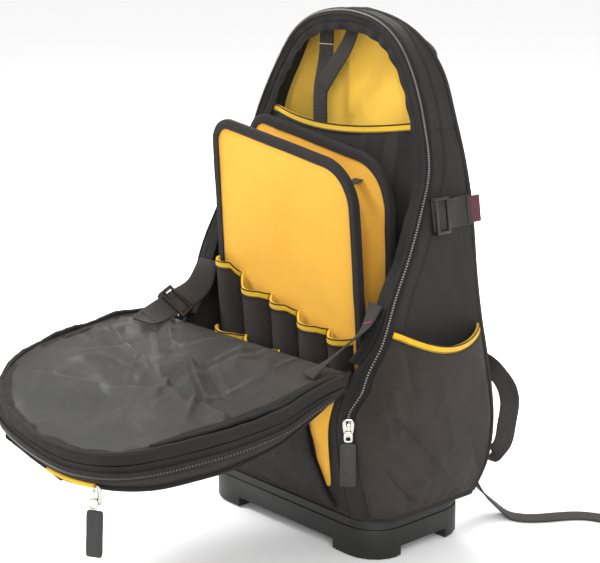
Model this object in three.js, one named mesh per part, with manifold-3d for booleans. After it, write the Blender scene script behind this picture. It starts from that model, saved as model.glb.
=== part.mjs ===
// A tool backpack standing open on its moulded base, with its front flap let down on two stay straps.
// Millimetres. x runs to the right of someone facing the bag's front, y to the back, z up.
import * as THREE from "three";
import { mergeVertices } from "three/addons/utils/BufferGeometryUtils.js";
import Module from "manifold-3d";

const wasm = await Module();
wasm.setup();

// Body and base
const bagHeight = 500;
const bodyHalfWidth = 140;
const bodyDepth = 170;
const baseHeight = 38;
const baseMargin = 1.1;
const baseCorner = 36;
const baseWall = 3;
const rimBand = 8;
const rimStep = 1.6;
const footHeight = 11;
const footLength = 56;
const footDepth = 36;
const soleInset = 2;

// Cloth, padding and trim
const cloth = 2;
const liningCloth = 1.2;
const seamGap = 0.4;
const seamRoom = 1.3;
const backEdge = 4;
const backPadding = 8;
const flangeWidth = 12;
const zipWidth = 5;
const zipThickness = 1.8;
const zipEndHeight = 155;
const bindingWidth = 7;
const bindingExtra = 0.8;
const bodyHeight = bagHeight - baseHeight;

// Flap
const hingeHeight = 190;
const flapReach = 250;
const flapEase = 4;
const flapHalfWidth = bodyHalfWidth - flapEase;
const flapDepth = 40;
const flapRoll = 14;
const flapYaw = -0.07;
const flapBandHeight = 9;
const flapBandThickness = 3;
const hingeClearance = 0.9;

// Webbing and pads
const webWidth = 25;
const webThickness = 1.6;
const padWidth = 55;
const padThickness = 12;

// The arch seen from the front, from the base to the top: shares of bodyHeight and bodyHalfWidth.
const archShape = [
  { up: 0, half: 0.885 },
  { up: 0.07, half: 0.945 },
  { up: 0.16, half: 0.98 },
  { up: 0.28, half: 1 },
  { up: 0.42, half: 1 },
  { up: 0.56, half: 0.982 },
  { up: 0.69, half: 0.917 },
  { up: 0.8, half: 0.805 },
  { up: 0.892, half: 0.655 },
  { up: 0.952, half: 0.497 },
  { up: 0.987, half: 0.29 },
  { up: 1, half: 0 },
];

// The side seen from the right: front and back edges as shares of bodyDepth, front corner as a share of baseCorner.
const depthShape = [
  { up: 0, front: -0.371, corner: 0.92, back: 0.4 },
  { up: 0.069, front: -0.47, corner: 0.88, back: 0.455 },
  { up: 0.156, front: -0.562, corner: 0.8, back: 0.462 },
  { up: 0.242, front: -0.606, corner: 0.72, back: 0.42 },
  { up: 0.329, front: -0.54, corner: 0.55, back: 0.36 },
  { up: 0.387, front: -0.43, corner: 0.38, back: 0.32 },
  { up: 0.478, front: -0.325, corner: 0.22, back: 0.275 },
  { up: 0.541, front: -0.235, corner: 0.17, back: 0.259 },
  { up: 0.632, front: -0.11, corner: 0.17, back: 0.253 },
  { up: 0.703, front: -0.02, corner: 0.17, back: 0.245 },
  { up: 0.799, front: 0.02, corner: 0.17, back: 0.24 },
  { up: 0.885, front: 0.048, corner: 0.17, back: 0.258 },
  { up: 0.95, front: 0.058, corner: 0.17, back: 0.225 },
  { up: 1, front: 0.062, corner: 0.17, back: 0.165 },
];

// The flap from its hinge to its tip: half width, rim height above the hinge and wall depth, as shares of
// flapHalfWidth and flapDepth.
const flapShape = [
  { out: 0, half: 0.87, rise: 0, depth: 0.36 },
  { out: 0.045, half: 0.96, rise: 0.08, depth: 0.42 },
  { out: 0.12, half: 1, rise: 0.15, depth: 0.56 },
  { out: 0.2, half: 1, rise: 0.13, depth: 0.68 },
  { out: 0.32, half: 1, rise: 0.02, depth: 0.8 },
  { out: 0.5, half: 0.99, rise: -0.12, depth: 0.9 },
  { out: 0.66, half: 0.945, rise: -0.22, depth: 0.92 },
  { out: 0.79, half: 0.86, rise: -0.36, depth: 0.9 },
  { out: 0.89, half: 0.71, rise: -0.52, depth: 0.82 },
  { out: 0.96, half: 0.49, rise: -0.64, depth: 0.76 },
  { out: 0.99, half: 0.27, rise: -0.69, depth: 0.73 },
  { out: 1, half: 0, rise: -0.7, depth: 0.72 },
];

// The base stands a little proud of the body's foot.
const baseWidth = 2 * (archShape[0].half * bodyHalfWidth + baseMargin);
const baseDepth = (depthShape[0].back - depthShape[0].front) * bodyDepth + 2 * baseMargin;

const colours = {
  black: 0x34302e,
  lining: 0x4b4a49,
  yellow: 0xf2ae1d,
  trim: 0xe0b32a,
  plastic: 0x2b2827,
  metal: 0xb9b5ad,
  maroon: 0x4f2736,
};

const V = (x, y, z) => new THREE.Vector3(x, y, z);
const lerp = THREE.MathUtils.lerp;
const halfTurn = Math.PI;

// A smooth curve through one column of a table, read at a share of its first column.
function reader(table, at, column) {
  const xs = table.map((row) => row[at]);
  const ys = table.map((row) => row[column]);
  const slope = (i) => {
    const a = Math.max(0, i - 1);
    const b = Math.min(xs.length - 1, i + 1);
    return (ys[b] - ys[a]) / (xs[b] - xs[a]);
  };
  return (x) => {
    let i = 0;
    while (i < xs.length - 2 && x > xs[i + 1]) i += 1;
    const span = xs[i + 1] - xs[i];
    const s = THREE.MathUtils.clamp((x - xs[i]) / span, 0, 1);
    const s2 = s * s;
    const s3 = s2 * s;
    return (
      ys[i] * (2 * s3 - 3 * s2 + 1) +
      slope(i) * span * (s3 - 2 * s2 + s) +
      ys[i + 1] * (3 * s2 - 2 * s3) +
      slope(i + 1) * span * (s3 - s2)
    );
  };
}

const range = (count, from = 0, to = 1) =>
  Array.from({ length: count + 1 }, (_, i) => lerp(from, to, i / count));

// Triangles of a grid of points.
function gridFaces(rows) {
  const faces = [];
  for (let i = 0; i < rows.length - 1; i += 1) {
    for (let j = 0; j < rows[i].length - 1; j += 1) {
      const [a, b] = [rows[i][j], rows[i][j + 1]];
      const [c, d] = [rows[i + 1][j + 1], rows[i + 1][j]];
      faces.push([a, b, c], [a, c, d]);
    }
  }
  return faces;
}

// Turns loose triangles into a closed solid facing out.
function closedGeometry(faces) {
  const flat = faces.flatMap((face) => face.flatMap((p) => [p.x, p.y, p.z]));
  const geometry = new THREE.BufferGeometry();
  geometry.setAttribute("position", new THREE.Float32BufferAttribute(flat, 3));
  let volume = 0;
  for (const [a, b, c] of faces) volume += a.dot(b.clone().cross(c));
  const merged = mergeVertices(geometry, 1e-3);
  if (volume < 0) {
    const index = merged.index.array;
    for (let i = 0; i < index.length; i += 3) [index[i + 1], index[i + 2]] = [index[i + 2], index[i + 1]];
  }
  return merged;
}

const keyOf = (p) => [p.x, p.y, p.z].map((v) => Math.round(v * 1e3)).join();

// A solid between two matching grids of points, closed round their rims.
function between(outer, inner) {
  const pairs = new Map();
  outer.forEach((row, i) => row.forEach((p, j) => pairs.set(keyOf(p), [p, inner[i][j]])));
  const faces = gridFaces(outer).map((face) => face.map(keyOf));
  const kept = faces.filter(([a, b, c]) => a !== b && b !== c && a !== c);
  const edges = new Map();
  for (const face of kept) face.forEach((k, i) => edges.set(k + "|" + face[(i + 1) % 3], [k, face[(i + 1) % 3]]));
  const out = (k) => pairs.get(k)[0];
  const into = (k) => pairs.get(k)[1];
  const solid = kept.flatMap(([a, b, c]) => [[out(a), out(b), out(c)], [into(a), into(c), into(b)]]);
  for (const [a, b] of edges.values()) {
    if (edges.has(b + "|" + a)) continue;
    solid.push([out(a), into(a), into(b)], [out(a), into(b), out(b)]);
  }
  return closedGeometry(solid);
}

// An open surface made into a wall: its two faces lie at the distances from and to along its normals.
function wall(rows, from, to) {
  const normals = new Map();
  for (const face of gridFaces(rows)) {
    const [a, b, c] = face;
    const normal = b.clone().sub(a).cross(c.clone().sub(a));
    for (const p of face) normals.set(keyOf(p), normal.clone().add(normals.get(keyOf(p)) ?? V(0, 0, 0)));
  }
  const moved = (distance) =>
    rows.map((row) => row.map((p) => p.clone().addScaledVector(normals.get(keyOf(p)).clone().normalize(), distance)));
  return between(moved(to), moved(from));
}

// Webbing along a path: the strap's width lies along its across directions.
function webbing(path, across, width, thickness) {
  const sides = path.map((p, i) => {
    const direction = (Array.isArray(across) ? across[i] : across).clone().normalize();
    return [-width / 2, width / 2].map((w) => p.clone().addScaledVector(direction, w));
  });
  return wall(sides, -thickness / 2, thickness / 2);
}

const smoothPath = (points, steps) => new THREE.CatmullRomCurve3(points).getSpacedPoints(steps);

// Booleans on closed geometries.
function solidOf(geometry) {
  const bare = geometry.index ? geometry.toNonIndexed() : geometry.clone();
  bare.deleteAttribute("normal");
  bare.deleteAttribute("uv");
  const merged = mergeVertices(bare, 1e-4);
  const mesh = new wasm.Mesh({
    numProp: 3,
    vertProperties: merged.attributes.position.array,
    triVerts: new Uint32Array(merged.index.array),
  });
  return new wasm.Manifold(mesh);
}

function geometryOf(solid) {
  const { vertProperties, triVerts } = solid.getMesh();
  const geometry = new THREE.BufferGeometry();
  geometry.setAttribute("position", new THREE.BufferAttribute(new Float32Array(vertProperties), 3));
  geometry.setIndex(new THREE.BufferAttribute(new Uint32Array(triVerts), 1));
  return geometry;
}

const boxSolid = (x, y, z, at) => solidOf(new THREE.BoxGeometry(x, y, z).translate(at.x, at.y, at.z));

// Corners of a polygon moved in by a distance and rounded by arcs, as a closed outline.
function roundedOutline(corners, radii, inset, steps) {
  const count = corners.length;
  const offset = corners.map((corner, i) => {
    const before = corners[(i + count - 1) % count];
    const after = corners[(i + 1) % count];
    const into = corner.clone().sub(before).normalize();
    const out = after.clone().sub(corner).normalize();
    const turn = into.clone().cross(out);
    const shift = into.clone().negate().add(out).multiplyScalar(inset / turn);
    return corner.clone().add(shift);
  });
  return offset.flatMap((corner, i) => {
    const before = offset[(i + count - 1) % count];
    const after = offset[(i + 1) % count];
    const back = before.clone().sub(corner).normalize();
    const ahead = after.clone().sub(corner).normalize();
    const half = Math.acos(THREE.MathUtils.clamp(back.dot(ahead), -1, 1)) / 2;
    const radius = Math.max(radii[i] - inset, 1);
    const centre = corner.clone().addScaledVector(back.clone().add(ahead).normalize(), radius / Math.sin(half));
    const start = corner.clone().addScaledVector(back, radius / Math.tan(half)).sub(centre).angle();
    const sweep = halfTurn - 2 * half;
    return range(steps, start, start + sweep).map(
      (angle) => new THREE.Vector2(centre.x + radius * Math.cos(angle), centre.y + radius * Math.sin(angle)),
    );
  });
}

const rectangle = (halfX, halfY) =>
  [[-1, -1], [1, -1], [1, 1], [-1, 1]].map(([x, y]) => new THREE.Vector2(x * halfX, y * halfY));

const backpack = new THREE.Group();

function add(name, geometry, colour, parent = backpack) {
  const metal = colour === colours.metal;
  const rough = colour === colours.plastic ? 0.55 : 0.9;
  const material = new THREE.MeshStandardMaterial({
    color: colour,
    roughness: metal ? 0.3 : rough,
    metalness: metal ? 0.9 : 0,
  });
  const mesh = new THREE.Mesh(geometry, material);
  mesh.name = name;
  parent.add(mesh);
  return mesh;
}

// The arch as one curve from the lower right, over the top, to the lower left.
const archHalf = archShape.map(({ up, half }) => new THREE.Vector2(half * bodyHalfWidth, baseHeight + up * bodyHeight));
const archLeft = archHalf.slice(0, -1).reverse().map((p) => new THREE.Vector2(-p.x, p.y));
const arch = new THREE.SplineCurve([...archHalf, ...archLeft]);
arch.arcLengthDivisions = 600;

const depthAt = {
  front: reader(depthShape, "up", "front"),
  corner: reader(depthShape, "up", "corner"),
  back: reader(depthShape, "up", "back"),
};

const upAt = (z) => THREE.MathUtils.clamp((z - baseHeight) / bodyHeight, 0, 1);
const frontAt = (z) => depthAt.front(upAt(z)) * bodyDepth;
const backAt = (z) => depthAt.back(upAt(z)) * bodyDepth;
const cornerAt = (z) => depthAt.corner(upAt(z)) * baseCorner;

// A point of the arch, from 0 at the lower right to 1 at the lower left, with its inward direction,
// which is level up to the side's tallest straight part.
function rimAt(share) {
  const p = arch.getPointAt(share);
  const tangent = arch.getTangentAt(share);
  const sideways = V(share < 0.5 ? -1 : 1, 0, 0);
  const bend = THREE.MathUtils.smoothstep(upAt(p.y), 0.45, 0.7);
  const inward = sideways.lerp(V(-tangent.y, 0, tangent.x), bend).normalize();
  return { x: p.x, z: p.y, inward };
}

// The share along the arch where its right side reaches a height.
function shareAtHeight(z) {
  let [low, high] = [0, 0.5];
  for (let i = 0; i < 40; i += 1) {
    const middle = (low + high) / 2;
    if (arch.getPointAt(middle).y < z) low = middle;
    else high = middle;
  }
  return low;
}

// The height of the arch's upper part over a place x.
function archOver(x) {
  let [low, high] = [shareAtHeight(baseHeight + bodyHeight / 2), 0.5];
  for (let i = 0; i < 40; i += 1) {
    const middle = (low + high) / 2;
    if (arch.getPointAt(middle).x > Math.abs(x)) low = middle;
    else high = middle;
  }
  return arch.getPointAt(low).y;
}

// A point of the body's outer face and its normal, at a run round its side from the front edge to the back.
function gussetAt(share, run, lift = 0) {
  const { x, z, inward } = rimAt(share);
  const corner = cornerAt(z);
  const curl = (corner * halfTurn) / 2;
  const angle = Math.min(run / corner, halfTurn / 2);
  const normal = inward.clone().multiplyScalar(-Math.sin(angle)).add(V(0, -Math.cos(angle), 0));
  const centre = V(x, frontAt(z) + corner, z).addScaledVector(inward, corner);
  const point = centre.addScaledVector(normal, corner + lift);
  point.y += Math.max(0, run - curl);
  return { point, normal };
}

const seamDepthAt = (z) => backAt(z) - seamRoom * 1.5;
const runLength = (z) => (cornerAt(z) * halfTurn) / 2 + seamDepthAt(z) - frontAt(z) - cornerAt(z);
const zipTurn = (z) => lerp(0.5, halfTurn / 4, THREE.MathUtils.smoothstep(z, zipEndHeight, hingeHeight - 10));
const zipRun = (z) => cornerAt(z) * zipTurn(z);
const shoulderHeight = baseHeight + bodyHeight * 0.78;
const shoulder = shareAtHeight(shoulderHeight);
const seamShare = seamGap / arch.getLength();

function gussetRows(shares) {
  return shares.map((share) => {
    const { z } = rimAt(share);
    const curl = (cornerAt(z) * halfTurn) / 2;
    const runs = [...range(3, 0, curl), ...range(3, curl, runLength(z)).slice(1)];
    return runs.map((run) => gussetAt(share, run).point);
  });
}

// Moulded base: a tub with hollow corner feet and a stepped rim.
function base() {
  const corners = Array(4).fill(baseCorner);
  const block = (inset, low, high) => {
    const outline = roundedOutline(rectangle(baseWidth / 2, baseDepth / 2), corners, inset, 5);
    const shape = new THREE.Shape(outline);
    return solidOf(new THREE.ExtrudeGeometry(shape, { depth: high - low, bevelEnabled: false }).translate(0, 0, low));
  };
  const feetBetween = (low, high, grow) =>
    rectangle(baseWidth / 2 - footLength / 2, baseDepth / 2 - footDepth / 2)
      .map(({ x, y }) => boxSolid(footLength + 2 * grow, footDepth + 2 * grow, high - low, V(x, y, (low + high) / 2)))
      .reduce((all, one) => all.add(one));
  const feet = block(0, soleInset, baseHeight / 2).intersect(feetBetween(soleInset, footHeight + 1, 0));
  const soles = block(soleInset, 0, soleInset + 1).intersect(feetBetween(0, soleInset + 1, -soleInset));
  const walls = block(0, footHeight, baseHeight - rimBand).add(block(rimStep, footHeight, baseHeight));
  const hollowFeet = block(baseWall, baseWall, baseHeight).intersect(feetBetween(baseWall, baseHeight, -baseWall));
  const inside = block(baseWall, footHeight + baseWall, baseHeight + 1).add(hollowFeet);
  return geometryOf(walls.add(feet).add(soles).subtract(inside));
}

// Rows that fill the arch: each runs from the rim to the middle line, so the outline keeps the arch.
const middleShare = 0.9;
const plateFoot = baseHeight + seamGap * 2;

function archPlate(inset, depth, start, steps, columns = 3) {
  const low = rimAt(start).z;
  return [...range(steps, start, 0.5), ...range(steps, 0.5, 1 - start).slice(1)].map((share) => {
    const { x, z, inward } = rimAt(share);
    const rim = V(x, 0, z).addScaledVector(inward, inset);
    const middle = lerp(low, rim.z, middleShare);
    return range(columns).map((w) => {
      const p = V(rim.x * (1 - w), 0, lerp(rim.z, middle, w));
      p.y = depth(p.z, w);
      return p;
    });
  });
}

const backFaceAt = (z, w) => backAt(z) + backEdge + backPadding * Math.sin((halfTurn / 2) * Math.min(1, w * 1.6));

// The padded back's outer face over a place x and a height z.
function backSurfaceAt(x, z) {
  let inFrom = 0;
  for (let i = 0; i < 6; i += 1) {
    const fall = (1 - middleShare) * inFrom;
    const rim = rimAt(shareAtHeight((z - fall * plateFoot) / (1 - fall)));
    inFrom = Math.max(0, 1 - Math.abs(x) / rim.x);
  }
  return backFaceAt(z, inFrom);
}

// Body walls: two sides, the arched top, the lower front and the padded back.
function body() {
  const bottom = shareAtHeight(baseHeight + seamGap);
  add("side_panel_right", wall(gussetRows(range(12, bottom, shoulder - seamShare)), -cloth, 0), colours.black);
  add("side_panel_left", wall(gussetRows(range(12, 1 - shoulder + seamShare, 1 - bottom)), -cloth, 0), colours.black);
  const topShares = range(15, shoulder + seamShare, 1 - shoulder - seamShare);
  add("top_panel", wall(gussetRows(topShares), -cloth, 0), colours.black);

  const frontRows = range(8, bottom, shareAtHeight(hingeHeight)).map((share) => {
    const { x, z } = rimAt(share);
    const edge = x - cornerAt(z) - seamRoom;
    return range(6, -edge, edge).map((side) => V(side, frontAt(z), z));
  });
  add("front_wall", wall(frontRows, -cloth, 0), colours.black);

  const backStart = shareAtHeight(plateFoot);
  const plate = (depth) => archPlate(0, depth, backStart, 12, 4);
  const backPanel = between(plate(backFaceAt), plate((z) => backAt(z)));
  add("back_panel", backPanel, colours.black);
}

// The flange that faces forward round the opening, and the zip outside it.
function opening() {
  const start = shareAtHeight(hingeHeight + flapBandHeight);
  const flangeRows = range(38, start, 1 - start).map((share) => {
    const { x, z, inward } = rimAt(share);
    const outer = cornerAt(z) + seamRoom;
    return [outer, outer + flangeWidth].map((d) => V(x, frontAt(z), z).addScaledVector(inward, d));
  });
  add("opening_flange", wall(flangeRows, 0, -cloth), colours.black);

  const zipStart = shareAtHeight(zipEndHeight);
  const zipShares = range(38, zipStart, 1 - zipStart);
  const lift = seamGap * 2 + zipThickness / 2;
  const frames = zipShares.map((share) => gussetAt(share, zipRun(rimAt(share).z), lift));
  const across = frames.map(({ normal }, i) => {
    const next = frames[Math.min(i + 1, frames.length - 1)].point;
    const before = frames[Math.max(i - 1, 0)].point;
    return next.clone().sub(before).cross(normal);
  });
  add("body_zip", webbing(frames.map(({ point }) => point), across, zipWidth, zipThickness), colours.black);
}

// A zip slider, its metal tongue and its rubber pull. The slider faces along -y before it is turned.
const sliderWidth = 12;
const sliderHeight = 17;
const sliderThickness = 5;
const bridgeWidth = 3;
const bridgeRise = 4;
const bridgeBar = 1.6;
const tongueWidth = 8;
const tongueLength = 10;
const tongueThickness = 1.6;
const pullWidth = 14;
const pullLength = 41;
const pullThickness = 3.2;
const pullCorner = 2;

function slider(name, at, turn) {
  const group = new THREE.Group();
  group.position.copy(at);
  group.rotation.z = turn;
  backpack.add(group);
  const bridgeHeight = sliderHeight * 0.7;
  const bridgeOut = sliderThickness / 2 + bridgeRise;
  const plate = boxSolid(sliderWidth, sliderThickness, sliderHeight, V(0, 0, 0));
  const bridge = boxSolid(bridgeWidth, bridgeOut, bridgeHeight, V(0, -bridgeOut / 2, 0));
  const eyeOut = bridgeRise - bridgeBar;
  const eyeAt = V(0, -(sliderThickness + eyeOut) / 2, 0);
  const eye = boxSolid(bridgeWidth * 2, eyeOut, bridgeHeight - 2 * bridgeBar, eyeAt);
  add(`${name}_slider`, geometryOf(plate.add(bridge.subtract(eye))), colours.metal, group);

  const barTop = -bridgeHeight / 2 + bridgeBar;
  const tongueTop = barTop + seamGap + tongueThickness;
  const tongue = boxSolid(tongueWidth, tongueThickness, tongueLength, V(0, eyeAt.y, tongueTop - tongueLength / 2));
  const slotTop = barTop + seamGap;
  const slotLow = -bridgeHeight / 2 - seamGap;
  const slotWidth = bridgeWidth + 2 * seamGap;
  const slot = boxSolid(slotWidth, tongueThickness * 2, slotTop - slotLow, V(0, eyeAt.y, (slotTop + slotLow) / 2));
  add(`${name}_tongue`, geometryOf(tongue.subtract(slot)), colours.metal, group);

  const pullTop = tongueTop - tongueLength - seamGap;
  const outline = roundedOutline(rectangle(pullWidth / 2, pullLength / 2), Array(4).fill(pullCorner), 0, 3);
  const pull = new THREE.ExtrudeGeometry(new THREE.Shape(outline), { depth: pullThickness, bevelEnabled: false });
  pull.rotateX(halfTurn / 2).translate(0, eyeAt.y + pullThickness / 2, pullTop - pullLength / 2);
  add(`${name}_pull`, pull, colours.plastic, group);
}

function mainSlider() {
  const z = zipEndHeight - sliderHeight / 2 - seamRoom;
  const lift = sliderThickness / 2 + seamGap * 2;
  slider("main_zip", gussetAt(shareAtHeight(z), zipRun(z), lift).point, halfTurn / 4);
}

// Two padded dividers that stand in the tub and lean forward, with bound edges.
const dividerBoard = 5;
const dividerBinding = 9;
const bindingRise = 1.5;
const dividerFloor = footHeight + baseWall + seamGap;
const dividerTop = 400;
const dividerFootRound = 6;
const dividerTopRound = 24;

// Sideways as shares of bodyHalfWidth, foot as a share of bodyDepth, heights and right-hand round as shares of
// dividerTop, lean in radians.
const dividers = [
  {
    name: "divider_front",
    foot: -0.212,
    lean: 0.078,
    left: -0.843,
    leftTop: -0.757,
    right: 0.679,
    rightTop: 0.65,
    highLeft: 0.998,
    highRight: 0.922,
    round: 0.115,
  },
  {
    name: "divider_rear",
    foot: -0.071,
    lean: 0.026,
    left: -0.814,
    leftTop: -0.729,
    right: 0.714,
    rightTop: 0.686,
    highLeft: 1,
    highRight: 0.92,
    round: 0.13,
  },
];

function dividerOutline({ left, leftTop, right, rightTop, highLeft, highRight, round }, inset) {
  const corners = [
    new THREE.Vector2(left * bodyHalfWidth, dividerFloor),
    new THREE.Vector2(right * bodyHalfWidth, dividerFloor),
    new THREE.Vector2(rightTop * bodyHalfWidth, highRight * dividerTop),
    new THREE.Vector2(leftTop * bodyHalfWidth, highLeft * dividerTop),
  ];
  const radii = [dividerFootRound, dividerFootRound, round * dividerTop, dividerTopRound];
  return roundedOutline(corners, radii, inset, 5);
}

function upright(outline, holes, depth, y) {
  const shape = new THREE.Shape(outline);
  shape.holes = holes.map((hole) => new THREE.Path(hole));
  const geometry = new THREE.ExtrudeGeometry(shape, { depth, bevelEnabled: false });
  return geometry.rotateX(halfTurn / 2).translate(0, y + depth, 0);
}

function divider(facts) {
  const leaning = new THREE.Group();
  leaning.position.set(0, facts.foot * bodyDepth, dividerFloor);
  leaning.rotation.x = facts.lean;
  const group = new THREE.Group();
  group.position.z = -dividerFloor;
  leaning.add(group);
  backpack.add(leaning);
  const board = upright(dividerOutline(facts, dividerBinding + seamGap), [], dividerBoard, 0);
  add(`${facts.name}_board`, board, colours.yellow, group);
  const thick = dividerBoard + 2 * bindingRise;
  const ring = upright(dividerOutline(facts, 0), [dividerOutline(facts, dividerBinding)], thick, -bindingRise);
  add(`${facts.name}_binding`, ring, colours.black, group);
  return group;
}

const dividerFaceAt = ({ foot, lean }, z, out) => foot * bodyDepth + out - (z - dividerFloor) * Math.tan(lean);

// Short straps that tie the two dividers together near their tops.
const linkWidth = 12;
const linkDrop = 26;
const linkSag = 3;
const links = [
  { name: "divider_link_left", side: -0.243 },
  { name: "divider_link_right", side: 0.386 },
];

function dividerLinks() {
  const [front, rear] = dividers;
  links.forEach(({ name, side }) => {
    const share = (side - front.leftTop) / (front.rightTop - front.leftTop);
    const z = lerp(front.highLeft, front.highRight, share) * dividerTop - linkDrop;
    const from = dividerFaceAt(front, z, dividerBoard) + seamGap * 2;
    const to = dividerFaceAt(rear, z, 0) - seamGap * 2;
    const x = side * bodyHalfWidth;
    const path = range(4).map((s) => V(x, lerp(from, to, s), z - linkSag * Math.sin(halfTurn * s)));
    add(name, webbing(path, V(1, 0, 0), linkWidth, webThickness), colours.black);
  });
}

// Tool pockets sewn across the front divider, from the left: sideways as shares of bodyHalfWidth, heights as
// shares of dividerTop.
const pocketSwell = 13;
const pocketRows = [
  {
    name: "upper_pockets",
    left: -0.764,
    low: 0.28,
    tier: 0,
    pockets: [
      { width: 0.257, top: 0.64 },
      { width: 0.3, top: 0.585 },
      { width: 0.271, top: 0.57 },
      { width: 0.3, top: 0.538 },
      { width: 0.229, top: 0.523 },
    ],
  },
  {
    name: "lower_pockets",
    left: -0.7,
    low: 0.185,
    tier: 1,
    pockets: [
      { width: 0.314, top: 0.475 },
      { width: 0.343, top: 0.463 },
      { width: 0.343, top: 0.45 },
      { width: 0.286, top: 0.44 },
    ],
  },
];

function pocketRow({ name, left, low, tier, pockets }, parent) {
  const steps = 5;
  const stand = bindingRise + seamGap + cloth + tier * (pocketSwell + cloth + bindingExtra * 0.75);
  let from = left;
  const columns = pockets.flatMap(({ width, top }, k) => {
    const start = from;
    from += width;
    return range(steps)
      .slice(k ? 1 : 0)
      .map((u) => {
        const other = u === 1 ? pockets[k + 1]?.top ?? top : top;
        const height = ((top + other) / 2) * dividerTop;
        return { x: (start + u * width) * bodyHalfWidth, top: height, out: Math.sin(halfTurn * u) ** 0.7 };
      });
  });
  const face = ({ x: side, out }, z, v) => V(side, -stand - pocketSwell * out * Math.min(1, 0.12 + 3 * v), z);
  const rows = range(4).map((v) => columns.map((c) => face(c, lerp(low * dividerTop, c.top - bindingWidth, v), v)));
  add(name, wall(rows, -cloth, 0), colours.black, parent);
  const trim = [seamGap, bindingWidth].map((rise) => columns.map((c) => face(c, c.top - bindingWidth + rise, 1)));
  add(`${name}_binding`, wall(trim, -cloth - bindingExtra / 2, bindingExtra / 2), colours.trim, parent);
}

// The inside of the back: yellow lining and the wide pocket with its bound edge.
const backPocketTop = 404;
const backPocketLow = 214;
const backPocketSag = 11;
const backPocketSwell = 13;
const backPocketStand = 5;
const liningGap = 2.7;

function backPocket() {
  const liningRows = archPlate(cloth + seamGap * 2, (z) => backAt(z) - liningGap, shareAtHeight(backPocketLow), 10);
  add("back_lining", wall(liningRows, -liningCloth, 0), colours.yellow);

  const frontOf = (z) => Math.max(frontAt(z) + cloth + bindingExtra + seamGap * 3, backPocketStand);
  const edgeOf = (z) => {
    const { x, inward } = rimAt(shareAtHeight(z));
    const corner = cornerAt(z);
    const short = Math.max(0, corner - (frontOf(z) - frontAt(z) - bindingExtra));
    const curlInset = corner - Math.sqrt(corner * corner - short * short);
    return x - (curlInset + cloth + bindingExtra + seamGap * 2) / Math.max(-inward.x, 0.5);
  };
  const face = (u, z) => {
    const edge = edgeOf(z + bindingWidth);
    const free = 1 - (cornerAt(z) + flangeWidth + cloth * 2) / edge;
    const side = Math.min(1, Math.abs(2 * u - 1) / free);
    const fullness = THREE.MathUtils.smoothstep(z, backPocketLow, backPocketTop);
    const rear = backAt(z) - liningGap - liningCloth - cloth - seamGap * 2;
    const tuck = 1 - THREE.MathUtils.smoothstep(z, backPocketLow, backPocketLow + backPocketTop / 10);
    const y = frontOf(z + bindingWidth) - backPocketSwell * (1 - side * side) * fullness;
    return V(lerp(-edge, edge, u), lerp(y, rear, tuck), z);
  };
  const topAt = (u) => backPocketTop - bindingWidth - backPocketSag * Math.sin(halfTurn * u);
  const rows = range(9).map((v) => range(12).map((u) => face(u, lerp(backPocketLow, topAt(u), v))));
  add("back_pocket", wall(rows, -cloth, 0), colours.black);
  const trim = [seamGap, bindingWidth].map((rise) =>
    range(12).map((u) => V(0, 0, rise).add(face(u, topAt(u)))),
  );
  add("back_pocket_binding", wall(trim, -cloth - bindingExtra, bindingExtra), colours.trim);
}

// Two straps sewn inside the top: one hangs down into the back pocket, the other joins it.
// Sideways as a share of bodyHalfWidth, hang from the pocket's edge to the top as a share, ahead in strap thicknesses.
const levelStrapWidth = 17;
const longStrapPath = [
  { side: -0.257, hang: 1, ahead: 0 },
  { side: -0.264, hang: 0.65, ahead: 0.6 },
  { side: -0.3, hang: 0.32, ahead: 1.9 },
  { side: -0.286, hang: 0, ahead: 3.1 },
];
const shortStrapPath = [
  { side: 0.029, hang: 0.955, ahead: 0 },
  { side: -0.029, hang: 0.74, ahead: 1.6 },
  { side: -0.15, hang: 0.53, ahead: 2.6 },
  { side: -0.264, hang: 0.34, ahead: 3 },
];

function levelStraps() {
  const ceiling = (x) => archOver(Math.abs(x) + levelStrapWidth / 2) - cloth - seamGap * 3;
  const y = backAt(backPocketTop) - liningCloth - levelStrapWidth;
  const low = backPocketTop - backPocketSag - bindingWidth;
  const route = (table) => {
    const top = ceiling(table[0].side * bodyHalfWidth);
    return table.map(({ side, hang, ahead }) =>
      V(side * bodyHalfWidth, y - ahead * webThickness, lerp(low, top, hang)),
    );
  };
  const long = webbing(smoothPath(route(longStrapPath), 9), V(1, 0.15, 0), levelStrapWidth, webThickness);
  add("level_strap_long", long, colours.black);
  const across = V(1, 0.1, 0.5);
  const short = webbing(smoothPath(route(shortStrapPath), 7), across, levelStrapWidth * 0.9, webThickness);
  add("level_strap_short", short, colours.black);
}

// Side pocket: a swelling wall on the side panel, open above, with a bound edge.
const sidePocketSwell = 25;
const sidePocketLow = 45;
const sidePocketFrontTop = 228;
const sidePocketBackTop = 216;
const sidePocketSag = 12;

// How far the side pocket stands out, from its bottom to its top.
const swellShape = [
  { up: 0, out: 0.03 },
  { up: 0.08, out: 0.4 },
  { up: 0.25, out: 0.78 },
  { up: 0.55, out: 1 },
  { up: 0.85, out: 0.96 },
  { up: 1, out: 0.86 },
];
const swellAt = reader(swellShape, "up", "out");

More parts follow.
